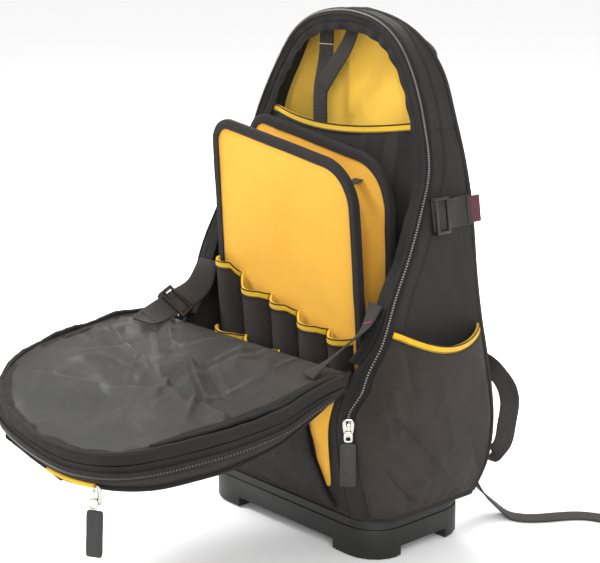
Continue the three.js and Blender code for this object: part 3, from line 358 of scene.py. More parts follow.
def lattice(x, y, z, seed):
    """A fixed value from -1 to 1 for each whole-numbered place."""
    mask = np.int64(0xFFFFFFFF)
    h = (x * 374761393 + y * 668265263 + z * 1440662683 + seed * 974634777) & mask
    h = ((h ^ (h >> 13)) * 1274126177) & mask
    return ((h ^ (h >> 16)) & 0xFFFF) / 32768.0 - 1


def noise(points, size, seed):
    """The lattice's values, blended smoothly between its places."""
    q = points / size
    cell = np.floor(q).astype(np.int64)
    f = q - cell
    f = f * f * (3 - 2 * f)
    total = 0
    for dx in (0, 1):
        for dy in (0, 1):
            for dz in (0, 1):
                weight = (
                    (f[..., 0] if dx else 1 - f[..., 0])
                    * (f[..., 1] if dy else 1 - f[..., 1])
                    * (f[..., 2] if dz else 1 - f[..., 2])
                )
                total = total + weight * lattice(cell[..., 0] + dx, cell[..., 1] + dy, cell[..., 2] + dz, seed)
    return total


def slack(points, size, seed, octaves=3):
    """Soft waves of several sizes, as in loose cloth."""
    total, weight = 0, 1.0
    for k in range(octaves):
        total = total + weight * noise(points, size / 2**k, seed + k)
        weight *= 0.5
    return total


def creases(points, size, seed):
    """Thin raised lines, like crumpled cloth."""
    return (1 - np.abs(noise(points, size, seed))) ** CREASE_POWER - CREASE_SINK


def groove(distance, width):
    """A soft valley, one deep, where the distance is zero."""
    return np.exp(-((distance / width) ** 2))


def along_line(x, y, x0, y0, x1, y1):
    """How far along a line points lie, as a share, how far from it, and how far to its right."""
    dx, dy = x1 - x0, y1 - y0
    length = math.hypot(dx, dy)
    along = ((x - x0) * dx + (y - y0) * dy) / length**2
    nearest = np.clip(along, 0, 1)
    off = np.hypot(x - x0 - dx * nearest, y - y0 - dy * nearest)
    return along, off, (dx * (y - y0) - dy * (x - x0)) / length


def folds(points, rows):
    """Folds laid along lines of the photograph: start, end, half width in pixels, height in mm, sharpness."""
    x, y = pixel(points)
    total = 0
    for *line, width, height, sharp in rows:
        _, off, _ = along_line(x, y, *line)
        total = total + height * np.maximum(0, 1 - off / width) ** sharp
    return total


def ledges(points, rows):
    """Edges where the cloth rises gently on one side of a line and drops sharply on the other."""
    x, y = pixel(points)
    total = 0
    for *line, width, height in rows:
        along, off, beside = along_line(x, y, *line)
        ends = smoothstep(along, *LEDGE_END) * smoothstep(1 - along, *LEDGE_END)
        fade = np.maximum(0, 1 - off / width) ** LEDGE_POWER
        total = total + height * fade * smoothstep(beside, *LEDGE_DROP) * ends
    return total


# ---- materials

ROUGH_SPREAD = 0.08

def graph(name):
    """A new material with one principled shader."""
    made = bpy.data.materials.new(name)
    made.use_nodes = True
    tree = made.node_tree
    tree.nodes.clear()
    out = tree.nodes.new("ShaderNodeOutputMaterial")
    shader = tree.nodes.new("ShaderNodeBsdfPrincipled")
    tree.links.new(shader.outputs[0], out.inputs[0])
    return made, tree, shader


def calc(tree, operation, a, b=None):
    """A sum on sockets or numbers."""
    node = tree.nodes.new("ShaderNodeMath")
    node.operation = operation
    for k, value in enumerate((a, b)):
        if value is None:
            continue
        if isinstance(value, (int, float)):
            node.inputs[k].default_value = value
        else:
            tree.links.new(value, node.inputs[k])
    return node.outputs[0]


def speckle(tree, scale, detail):
    coords = tree.nodes.new("ShaderNodeTexCoord")
    node = tree.nodes.new("ShaderNodeTexNoise")
    node.inputs["Scale"].default_value = scale
    node.inputs["Detail"].default_value = detail
    node.inputs["Roughness"].default_value = 0.6
    tree.links.new(coords.outputs["Object"], node.inputs["Vector"])
    return node.outputs["Fac"]


def cloth_uv(tree):
    """Metres across the cloth and along it."""
    uv = tree.nodes.new("ShaderNodeUVMap")
    uv.uv_map = "cloth"
    split = tree.nodes.new("ShaderNodeSeparateXYZ")
    tree.links.new(uv.outputs[0], split.inputs[0])
    return split.outputs[0], split.outputs[1]


def wave(tree, value, period):
    return calc(tree, "SINE", calc(tree, "MULTIPLY", value, 2 * math.pi / period))


def rgb(*screen):
    """A screen colour, 0 to 255, as the linear one that shaders take."""
    shares = [c / 255 for c in screen]
    return (*(c / 12.92 if c <= 0.04045 else ((c + 0.055) / 1.055) ** 2.4 for c in shares), 1.0)


def shade(tree, shader, factor, dark, light):
    """The shader's colour, between two, by a factor."""
    mix = tree.nodes.new("ShaderNodeMix")
    mix.data_type = "RGBA"
    tree.links.new(factor, mix.inputs[0])
    mix.inputs[6].default_value = dark
    mix.inputs[7].default_value = light
    tree.links.new(mix.outputs[2], shader.inputs["Base Color"])


def rough_between(tree, shader, factor, low_value, high_value):
    spread = tree.nodes.new("ShaderNodeMapRange")
    tree.links.new(factor, spread.inputs[0])
    spread.inputs[3].default_value = low_value
    spread.inputs[4].default_value = high_value
    tree.links.new(spread.outputs[0], shader.inputs["Roughness"])


def bump(tree, shader, height, distance):
    node = tree.nodes.new("ShaderNodeBump")
    node.inputs["Distance"].default_value = distance
    tree.links.new(height, node.inputs["Height"])
    tree.links.new(node.outputs[0], shader.inputs["Normal"])


def cloth_material(name, dark, light, weave, depth, roughness, sheen,
                   speck=900, patch=30, contrast=1.6, kind="plain"):
    """Woven cloth: weave in metres, uneven tone, and a soft sheen."""
    made, tree, shader = graph(name)
    u, v = cloth_uv(tree)
    if kind == "plain":
        threads = calc(tree, "MULTIPLY", wave(tree, u, weave), wave(tree, v, weave))
    elif kind == "ribbed":
        ribs = calc(tree, "ABSOLUTE", wave(tree, u, weave * 2))
        cords = calc(tree, "MULTIPLY", calc(tree, "ABSOLUTE", wave(tree, v, weave * 2.4)), 0.7)
        threads = calc(tree, "ADD", ribs, cords)
    elif kind == "twill":
        slanted = calc(tree, "ADD", u, calc(tree, "MULTIPLY", v, 0.7))
        threads = calc(tree, "MULTIPLY", wave(tree, slanted, weave), 0.8)
    else:
        slants = [wave(tree, calc(tree, operation, u, v), weave) for operation in ("ADD", "SUBTRACT")]
        holes = calc(tree, "MULTIPLY", *slants)
        threads = calc(tree, "POWER", calc(tree, "ABSOLUTE", holes), 0.5)
    fine = speckle(tree, speck, 3.0)
    broad = speckle(tree, patch, 3.0)
    tone = calc(tree, "ADD", calc(tree, "MULTIPLY", fine, 0.65), calc(tree, "MULTIPLY", broad, 0.35))
    if kind == "mesh":
        tone = calc(tree, "SUBTRACT", calc(tree, "MULTIPLY", tone, 1.5), threads)
    else:
        tone = calc(tree, "ADD", tone, calc(tree, "MULTIPLY", threads, 0.12))
    spread = tree.nodes.new("ShaderNodeMapRange")
    tree.links.new(tone, spread.inputs[0])
    spread.inputs[1].default_value = 0.5 - 0.5 / contrast
    spread.inputs[2].default_value = 0.5 + 0.5 / contrast
    shade(tree, shader, spread.outputs[0], dark, light)
    rough_between(tree, shader, broad, roughness - ROUGH_SPREAD, roughness + ROUGH_SPREAD)
    height = calc(tree, "ADD", threads, calc(tree, "MULTIPLY", fine, 0.8))
    bump(tree, shader, height, depth)
    shader.inputs["Sheen Weight"].default_value = sheen
    shader.inputs["Sheen Roughness"].default_value = 0.45
    shader.inputs["Specular IOR Level"].default_value = 0.22
    return made


def solid_material(name, dark, light, roughness, grain, depth, metallic=0.0, specular=0.5):
    made, tree, shader = graph(name)
    fine = speckle(tree, grain, 2.0)
    broad = speckle(tree, 60, 3.0)
    tone = calc(tree, "ADD", calc(tree, "MULTIPLY", fine, 0.5), calc(tree, "MULTIPLY", broad, 0.5))
    shade(tree, shader, tone, dark, light)
    rough_between(tree, shader, broad, roughness - ROUGH_SPREAD, roughness + ROUGH_SPREAD)
    bump(tree, shader, fine, depth)
    shader.inputs["Metallic"].default_value = metallic
    shader.inputs["Specular IOR Level"].default_value = specular
    return made


# name, dark, light, weave and depth in metres, roughness, sheen.
PACK = cloth_material("pack cloth", rgb(17, 15, 14), rgb(47, 42, 39), 0.0011, 0.0003, 0.8, 0.05)
POCKET = cloth_material("pocket cloth", rgb(16, 14, 12), rgb(66, 56, 49), 0.0012, 0.0004, 0.82, 0.06, speck=700)
TRIM = cloth_material("trim cloth", rgb(12, 11, 10), rgb(38, 34, 32), 0.0009, 0.0003, 0.78, 0.05)
INNER = cloth_material("inner cloth", rgb(9, 8, 8), rgb(30, 27, 26), 0.001, 0.0003, 0.8, 0.04)
WEBBING = cloth_material("webbing", rgb(11, 10, 10), rgb(50, 46, 43), 0.0013, 0.0005, 0.7, 0.06, kind="ribbed")
LINING = cloth_material("satin lining", rgb(17, 16, 16), rgb(41, 40, 38), 0.0006, 0.0001, 0.45, 0.1,
                        speck=500, kind="twill")
YELLOW = cloth_material("yellow cloth", rgb(216, 150, 26), rgb(244, 190, 66), 0.0009, 0.0002, 0.66, 0.08,
                        patch=14, contrast=1.1)
# A lighter copy of the yellow cloth with painted light: its colour is raised to make up for the shade inside the bag.
PAINTED_LIGHT_YELLOW = cloth_material("yellow cloth with painted light", rgb(255, 190, 44), rgb(255, 218, 92), 0.0009, 0.0002, 0.62, 0.1,
                        patch=14, contrast=1.1)
TAPE = cloth_material("yellow tape", rgb(196, 148, 8), rgb(238, 196, 44), 0.0009, 0.0002, 0.68, 0.08, kind="twill")
MAROON = cloth_material("maroon tape", rgb(48, 12, 22), rgb(88, 32, 47), 0.0011, 0.0003, 0.72, 0.08, kind="ribbed")
MESH = cloth_material("mesh cloth", rgb(6, 5, 5), rgb(88, 80, 74), 0.0046, 0.0008, 0.75, 0.03, kind="mesh")
# name, dark, light, roughness, grain, depth in metres.
THREAD = solid_material("black thread", rgb(14, 13, 12), rgb(34, 31, 29), 0.7, 1500, 0.00005)
PALE_THREAD = solid_material("pale thread", rgb(176, 156, 126), rgb(215, 200, 175), 0.7, 1500, 0.00005)
PINK_THREAD = solid_material("pink thread", rgb(150, 44, 84), rgb(205, 84, 126), 0.7, 1500, 0.00005)
TEETH = solid_material("zip teeth", rgb(72, 69, 66), rgb(150, 146, 139), 0.42, 900, 0.00003)
DIM_TEETH = solid_material("dull zip teeth", rgb(40, 38, 36), rgb(98, 94, 89), 0.5, 900, 0.00003)
BASE = solid_material("moulded base", rgb(11, 10, 9), rgb(23, 21, 19), 0.5, 1400, 0.00008, specular=0.4)
PLASTIC = solid_material("buckle plastic", rgb(15, 14, 14), rgb(28, 26, 25), 0.38, 1200, 0.00004)
RUBBER = solid_material("pull rubber", rgb(32, 31, 30), rgb(46, 45, 43), 0.58, 1300, 0.00006, specular=0.35)
METAL = solid_material("slider metal", rgb(150, 147, 142), rgb(214, 211, 205), 0.26, 900, 0.00003, metallic=1.0)


# ---- mesh makers

def mesh_piece(name, verts, faces, material, nodes=(), uv=None, angle=40):
    """A mesh from millimetre points in the solids' frame."""
    mesh = bpy.data.meshes.new(name)
    mesh.from_pydata(((np.asarray(verts, float) + SHIFT) * 0.001).tolist(), [], faces)
    layer = mesh.uv_layers.new(name="cloth")
    if uv is not None:
        index = np.empty(len(mesh.loops), np.int32)
        mesh.loops.foreach_get("vertex_index", index)
        layer.data.foreach_set("uv", np.asarray(uv, np.float32)[index].ravel())
    mesh.materials.append(material)
    mesh.polygons.foreach_set("use_smooth", np.ones(len(mesh.polygons), bool))
    mesh.validate()
    mesh.set_sharp_from_angle(angle=math.radians(angle))
    piece = bpy.data.objects.new(name, mesh)
    bpy.context.scene.collection.objects.link(piece)
    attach(piece, "root")
    if nodes:
        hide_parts(*nodes)
    return piece


def normals_of(points, hint):
    """Unit normals of a grid, on the side of a hint direction."""
    across = np.cross(np.gradient(points, axis=0), np.gradient(points, axis=1))
    normal = unit(across)
    turned = np.sum(normal * np.asarray(hint, float)) < 0
    return (-normal if turned else normal), turned


def lengths(points, axis):
    """Distances along one axis of a grid of points, from its middle."""
    steps = np.linalg.norm(np.diff(points, axis=axis), axis=-1)
    zero = np.zeros_like(np.take(steps, [0], axis=axis))
    total = np.concatenate([zero, np.cumsum(steps, axis=axis)], axis=axis)
    middle = np.take(total, [total.shape[axis] // 2], axis=axis)
    return total - middle


def panel(name, points, low_side, high_side, hint, material, nodes=(), relief=None, angle=40):
    """A sewn piece of cloth: a grid of points given thickness, with relief along its normals."""
    normal, turned = normals_of(points, hint)
    if relief is not None:
        points = points + normal * relief[..., None]
        normal, turned = normals_of(points, hint)
    m, n = points.shape[:2]
    top = (points + normal * high_side).reshape(-1, 3)
    under = (points + normal * low_side).reshape(-1, 3)
    index = np.arange(m * n).reshape(m, n)
    a, b = index[:-1, :-1].ravel(), index[1:, :-1].ravel()
    c, d = index[1:, 1:].ravel(), index[:-1, 1:].ravel()
    quads = np.stack([a, b, c, d], -1)
    if turned:
        quads = quads[:, ::-1]
    below = quads[:, ::-1] + m * n
    border = np.concatenate([index[:, 0], index[-1, 1:], index[-2::-1, -1], index[0, -2:0:-1]])
    ring = np.roll(border, -1)
    sides = np.stack([border, ring, ring + m * n, border + m * n], -1)
    if not turned:
        sides = sides[:, ::-1]
    faces = np.vstack([quads, below, sides]).tolist()
    uv = np.stack([lengths(points, 1), lengths(points, 0)], -1).reshape(-1, 2) * 0.001
    piece = mesh_piece(name, np.vstack([top, under]), faces, material, nodes, np.vstack([uv, uv]), angle)
    return piece, points, normal


def swept(name, path, across, out, section, material, nodes=(), closed=False, angle=40):
    """A section, as (across, out) millimetres, carried along a path."""
    across, out = unit(np.asarray(across, float)), unit(np.asarray(out, float))
    section = np.asarray(section, float)
    count, around = len(path), len(section)
    points = (
        path[:, None]
        + across[:, None] * section[None, :, 0, None]
        + out[:, None] * section[None, :, 1, None]
    )
    along = np.concatenate([[0], np.cumsum(np.linalg.norm(np.diff(path, axis=0), axis=1))])
    uv = np.stack(np.broadcast_arrays(along[:, None], section[None, :, 0]), -1).reshape(-1, 2) * 0.001
    faces = []
    for i in range(count if closed else count - 1):
        k = (i + 1) % count
        for j in range(around):
            l = (j + 1) % around
            faces.append([i * around + j, k * around + j, k * around + l, i * around + l])
    if not closed:
        faces.append(list(range(around)))
        faces.append([(count - 1) * around + j for j in range(around)][::-1])
    piece = mesh_piece(name, points.reshape(-1, 3), faces, material, nodes, uv, angle)
    outward(piece.data)
    return piece


def outward(mesh):
    """Turns every face to the outside."""
    work = bmesh.new()
    work.from_mesh(mesh)
    bmesh.ops.recalc_face_normals(work, faces=work.faces)
    work.to_mesh(mesh)
    work.free()


def rounded_strip(width, thickness, edge=4):
    """A flat strap's section with round edges."""
    r = thickness / 2
    right = [(width / 2 - r + r * math.sin(a), -r * math.cos(a)) for a in np.linspace(0, math.pi, edge)]
    flat = [(x, r) for x in np.linspace(width / 2 - r, -width / 2 + r, 7)[1:-1]]
    return right + flat + [(-x, -y) for x, y in right + flat]


def round_section(across, out, sides=8):
    """A cord's or roll's section, from its half width and half height."""
    return [(across * math.cos(a), out * math.sin(a)) for a in np.linspace(0, 2 * math.pi, sides + 1)[:-1]]


def level_roll(name, path, across, out, material, sides=10, guide=None):
    """A roll of cloth along a path, its width level; a guide is a path beside it that turns it instead."""
    along = heading(path if guide is None else guide)
    side = unit(np.cross(along, UPRIGHT))
    swept(name, path, side, np.cross(side, along), round_section(across, out, sides), material)


def spread(count):
    """Shares from side to side, -1 to 1, closer together near both sides."""
    return np.sin(np.linspace(-math.pi / 2, math.pi / 2, count))[None]


def strap(name, path, across, width, thickness, nodes, material=None):
    """Webbing along a path."""
    across = np.broadcast_to(np.asarray(across, float), path.shape)
    along = heading(path)
    side = squared(across, along)
    out = np.cross(along, side)
    return swept(name, path, side, out, rounded_strip(width, thickness), material or WEBBING, nodes)


def blocks(name, centres, along, across, out, size, material, bevel=0.3):
    """Many small rounded blocks as one mesh, such as stitches or zip teeth."""
    along, across, out = (unit(np.broadcast_to(np.asarray(v, float), centres.shape)) for v in (along, across, out))
    hx, hy, hz = (s / 2 for s in size)
    corners = []
    for sz, grow in ((-1, 1.0), (1, 1 - bevel)):
        for sx, sy in ((-1, -1), (1, -1), (1, 1), (-1, 1)):
            corners.append((sx * hx * grow, sy * hy * grow, sz * hz))
    corners = np.array(corners)
    verts = (
        centres[:, None]
        + along[:, None] * corners[None, :, 0, None]
        + across[:, None] * corners[None, :, 1, None]
        + out[:, None] * corners[None, :, 2, None]
    ).reshape(-1, 3)
    cube = np.array([[3, 2, 1, 0], [4, 5, 6, 7], [0, 1, 5, 4], [1, 2, 6, 5], [2, 3, 7, 6], [3, 0, 4, 7]])
    faces = (cube[None] + 8 * np.arange(len(centres))[:, None, None]).reshape(-1, 4).tolist()
    piece = mesh_piece(name, verts, faces, material, angle=30)
    outward(piece.data)
    return piece


STITCH_RISE = 0.18
STITCH_HEIGHT = 0.5
seams = {"black": [], "pale": [], "pink": []}


def stitch(path, out, pitch=3.4, length=2.3, width=0.7, colour="black"):
    """Keeps a line of stitches; all lines of one colour become one mesh."""
    total = np.linalg.norm(np.diff(path, axis=0), axis=1).sum()
    steps = max(2, int(total / pitch))
    at = np.linspace(0, 1, len(path))
    new = np.linspace(0, 1, steps + 1)
    spaced = respace(path, steps)
    side = np.stack([np.interp(new, at, np.broadcast_to(out, path.shape)[:, k]) for k in range(3)], -1)
    middle = (spaced[1:] + spaced[:-1]) / 2
    side = unit((side[1:] + side[:-1]) / 2)
    along = unit(spaced[1:] - spaced[:-1])
    seams[colour].append((middle + side * STITCH_RISE, along, np.cross(along, side), side, length, width))


def sew():
    """Makes the stitches that were kept."""
    for colour, material in (("black", THREAD), ("pale", PALE_THREAD), ("pink", PINK_THREAD)):
        rows = seams[colour]
        if not rows:
            continue
        middle, along, across, out = (np.vstack([row[k] for row in rows]) for k in range(4))
        size = (*rows[0][4:], STITCH_HEIGHT)
        blocks(f"stitches_{colour}", middle, along, across, out, size, material)


WELD = 0.00002  # metres
FLAT_ANGLE = 1  # degrees, here and below
SHARP_ANGLE = 35


def refined(node, material, bevel=0.5, segments=2, angle=30):
    """A hard piece: the solid's own shape with its edges rounded."""
    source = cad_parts[node].data
    mesh = source.copy()
    mesh.materials.clear()
    mesh.materials.append(material)
    work = bmesh.new()
    work.from_mesh(mesh)
    bmesh.ops.remove_doubles(work, verts=work.verts, dist=WELD)
    bmesh.ops.dissolve_limit(work, angle_limit=math.radians(FLAT_ANGLE), verts=work.verts, edges=work.edges)
    work.to_mesh(mesh)
    work.free()
    if not mesh.uv_layers:
        mesh.uv_layers.new(name="cloth")
    piece = bpy.data.objects.new(f"{node}_piece", mesh)
    bpy.context.scene.collection.objects.link(piece)
    modifier = piece.modifiers.new("round edges", "BEVEL")
    modifier.width = bevel * 0.001
    modifier.segments = segments
    modifier.limit_method = "ANGLE"
    modifier.angle_limit = math.radians(angle)
    modifier.use_clamp_overlap = True
    bpy.context.view_layer.update()
    baked = bpy.data.meshes.new_from_object(piece.evaluated_get(bpy.context.evaluated_depsgraph_get()))
    piece.modifiers.clear()
    piece.data = baked
    baked.polygons.foreach_set("use_smooth", np.ones(len(baked.polygons), bool))
    baked.set_sharp_from_angle(angle=math.radians(SHARP_ANGLE))
    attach(piece, "root")
    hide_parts(node)
    return piece


# ---- body

SHOULDER = float(share_at(BASE_HEIGHT + BODY_HEIGHT * 0.78))
BOTTOM = float(share_at(BASE_HEIGHT + GAP))
LAP = PANEL_OVERLAP / arch.length[-1]
# The two channels of the back's padding: half their distance, how it grows away from a height, and that height.
CHANNEL = 26
CHANNEL_SPREAD = 0.12
CHANNEL_MIDDLE = 250
PIPING = 1.7
PIPING_INSET = 1.2

# Folds of the right side's cloth, as lines of the photograph: x, y, x, y, half width, height, sharpness.
SIDE_FOLDS = [
    (418, 250, 455, 300, 12, 0.8, 1.6),
    (436, 150, 446, 190, 9, -0.7, 1.6),
    (420, 120, 430, 160, 8, 0.6, 1.6),
    (452, 240, 462, 300, 10, -0.8, 1.6),
    (366, 470, 380, 420, 9, 1.2, 1.4),
    (385, 440, 392, 512, 7, -1.2, 1.4),
    (352, 500, 372, 470, 6, 0.9, 1.4),
]


def tucked(points):
    """A wall's points, their lower edge drawn down into the tub."""
    points[..., 2] -= TUCK * (1 - smoothstep(points[..., 2], BASE_HEIGHT, BASE_HEIGHT + TUCK_HEIGHT))
    return points


def body_panel(name, node, start, end, rows, seed):
    shares = np.linspace(start, end, rows)[:, None]
    z = rim_at(shares)[1]
    w = np.linspace(0, 1, 84)[None] ** 1.15
    run = w * (run_length(z) + BACK_OVERLAP)
    points = tucked(gusset(shares, run)[0])
    relief = 1.4 * slack(points, 62, seed) + 0.7 * creases(points * [1, 0.7, 0.6], 46, seed + 9)
    past_seam = run - zip_run(z) - SIDE_SEAM
    relief -= 0.9 * groove(past_seam, 1.6)
    edge = np.minimum(np.abs(shares - SHOULDER), np.abs(1 - SHOULDER - shares)) * arch.length[-1]
    relief -= 1.1 * groove(edge, 2.2)
    relief += 1.6 * folds(points, SIDE_FOLDS) * (points[..., 0] > 0)
    relief *= faded(w, 0.05, 0.03)
    middle = np.array([0, 0, 230.0])
    _, grid, normal = panel(name, points, -CLOTH, 0, points - middle, PACK, [node], relief)
    column = np.argmin(np.abs(past_seam) + 1e3 * (past_seam < 0), axis=1)
    beside = np.minimum(column + 1, grid.shape[1] - 1)
    rows = np.arange(len(column))
    stitch(grid[rows, beside], normal[rows, beside])


def front_wall():
    x, z, _, _ = rim_at(np.linspace(BOTTOM, float(share_at(HINGE)), 80)[:, None])
    s = np.linspace(-1, 1, 110)[None]
    points = tucked(np.stack([s * (x - corner_at(z) - ROOM), front_at(z) + 0 * s, z + 0 * s], -1))
    relief = (0.6 * slack(points, 50, 41) - 0.5) * smoothstep(1 - np.abs(s), 0, 0.06)
    panel("front_cloth", points, -CLOTH, 0, (0, -1, 0), PACK, ["front_wall"], relief)


def padded_back():
    x, z, _, _ = rim_at(np.linspace(float(share_at(BASE_HEIGHT + 2 * GAP)), CROWN, 150)[:, None])
    s = spread(120)
    w = 1 - np.abs(s)
    points = np.stack([s * x, back_at(z) + back_bulge(w), z + 0 * s], -1)
    channel = np.abs(points[..., 0]) - CHANNEL - CHANNEL_SPREAD * np.abs(points[..., 2] - CHANNEL_MIDDLE)
    relief = 0.5 * slack(points, 55, 51) - 2.2 * groove(channel, 4) * smoothstep(w, 0.1, 0.4)
    relief *= smoothstep(w, 0, 0.06) * smoothstep(z, 40, 60)
    piece, grid, normal = panel("padded_back", points, -4, 0, (0, 1, 0), POCKET, ["back_panel"],
                                relief - 0.1)
    for column in (8, -9):
        stitch(grid[:, column], normal[:, column])
    shares = np.linspace(BOTTOM, 1 - BOTTOM, 300)
    seam, normal = gusset(shares, run_length(rim_at(shares)[1]))
    seam[:, 1] += ROOM + PIPING_INSET
    swept("back_piping", seam - normal * PIPING_INSET, normal, np.tile([0.0, 1, 0], (300, 1)),
          round_section(PIPING, PIPING), TRIM)


def body():
    body_panel("side_right", "side_panel_right", BOTTOM, SHOULDER + LAP, 190, 3)
    body_panel("side_left", "side_panel_left", 1 - SHOULDER - LAP, 1 - BOTTOM, 190, 17)
    body_panel("top_cloth", "top_panel", SHOULDER - LAP, 1 - SHOULDER + LAP, 120, 31)
    front_wall()
    padded_back()


def opening():
    start = float(share_at(HINGE + FLAP_BAND))
    shares = np.linspace(start, 1 - start, 420)[:, None]
    x, z, ix, iz = rim_at(shares)
    w = np.linspace(0, 1, 16)[None]
    inset = corner_at(z) - FLANGE_OVERLAP + w * (FLANGE_WIDTH + ROOM + FLANGE_OVERLAP)
    points = np.stack([x + ix * inset, front_at(z) + 0 * w, z + iz * inset], -1)
    high = smoothstep(z, 380, 450)
    ripple = np.sin(shares * 260 + 3 * noise(points[:, 8:9], 30, 63))
    relief = (1.2 * slack(points, 26, 61) + (0.4 + 0.8 * high) * ripple * w**1.5) * smoothstep(w, 0, 0.4)
    relief -= 2.2 * w**2 + 1.6 * groove(w - 0.5, 0.06) * (0.4 + high)
    _, grid, normal = panel("flange", points, 0, CLOTH, (0, -1, 0), INNER, ["opening_flange"], relief)
    stitch(grid[:, 2] + normal[:, 2] * CLOTH, normal[:, 2])

    start = float(share_at(ZIP_END))
    shares = np.linspace(start, 1 - start, 520)
    path, normal = gusset(shares, zip_run(rim_at(shares)[1]), GAP * 2 + 0.9)
    along = heading(path)
    across = unit(np.cross(along, normal))
    swept("body_zip_tape", path - normal * 0.5, across, normal, rounded_strip(ZIP_WIDTH, 1.0), TRIM,
          ["body_zip"])
    teeth("body_zip_teeth", path, along, across, normal, -1.3, TEETH)
    ridge = path - across * (ZIP_WIDTH / 2 + 1.6)
    swept("zip_flap_edge", ridge - normal * 0.6, across, normal, round_section(1.5, 1.1), TRIM)


TOOTH_PITCH = 2.3
TOOTH_RISE = 0.75
TOOTH = (1.15, 1.9, 1.0)


def teeth(name, path, along, across, normal, offset, material):
    total = np.linalg.norm(np.diff(path, axis=0), axis=1).sum()
    at = np.linspace(0, len(path) - 1, int(total / TOOTH_PITCH))

    def picked(values):
        return np.stack([np.interp(at, np.arange(len(path)), values[:, k]) for k in range(3)], -1)

    centres = picked(path) + picked(across) * offset + picked(normal) * TOOTH_RISE
    blocks(name, centres, picked(along), picked(across), picked(normal), TOOTH, material, bevel=0.35)


# ---- dividers, pockets and lining

DIVIDER_TOP = 400
DIVIDER_BOARD = 5
DIVIDER_BINDING = 9
BINDING_RISE = 1.5
DIVIDER_FLOOR = 11 + 3 + GAP
# name, foot, lean, left, left top, right, right top, high left, high right, round: the corner's radius.
DIVIDERS = [
    ("divider_front", -0.212, 0.078, -0.843, -0.757, 0.679, 0.65, 0.998, 0.922, 0.115),
    ("divider_rear", -0.071, 0.026, -0.814, -0.729, 0.714, 0.686, 1.0, 0.92, 0.13),
]


def rounded_outline(corners, radii, inset, steps):
    """Corners joined by arcs, and moved inwards."""
    corners = np.array(corners, float)
    count = len(corners)
    offset = []
    for i in range(count):
        into = unit(corners[i] - corners[i - 1])
        out = unit(corners[(i + 1) % count] - corners[i])
        turn = into[0] * out[1] - into[1] * out[0]
        offset.append(corners[i] + (out - into) * inset / turn)
    outline = []
    for i, corner in enumerate(offset):
        back = unit(offset[i - 1] - corner)
        ahead = unit(offset[(i + 1) % count] - corner)
        bend = math.acos(float(np.clip(back @ ahead, -1, 1))) / 2
        radius = max(radii[i] - inset, 1)
        centre = corner + unit(back + ahead) * radius / math.sin(bend)
        start = corner + back * radius / math.tan(bend) - centre
        angle = math.atan2(start[1], start[0])
        for a in np.linspace(angle, angle + math.pi - 2 * bend, steps):
            outline.append(centre + radius * np.array([math.cos(a), math.sin(a)]))
    return np.array(outline)


def leaned(points, foot, lean):
    """Divider points, made upright at y = 0, put in their place."""
    c, s = math.cos(lean), math.sin(lean)
    x, y, z = points[..., 0], points[..., 1], points[..., 2] - DIVIDER_FLOOR
    return np.stack([x, foot * DEPTH + y * c - z * s, DIVIDER_FLOOR + y * s + z * c], -1)


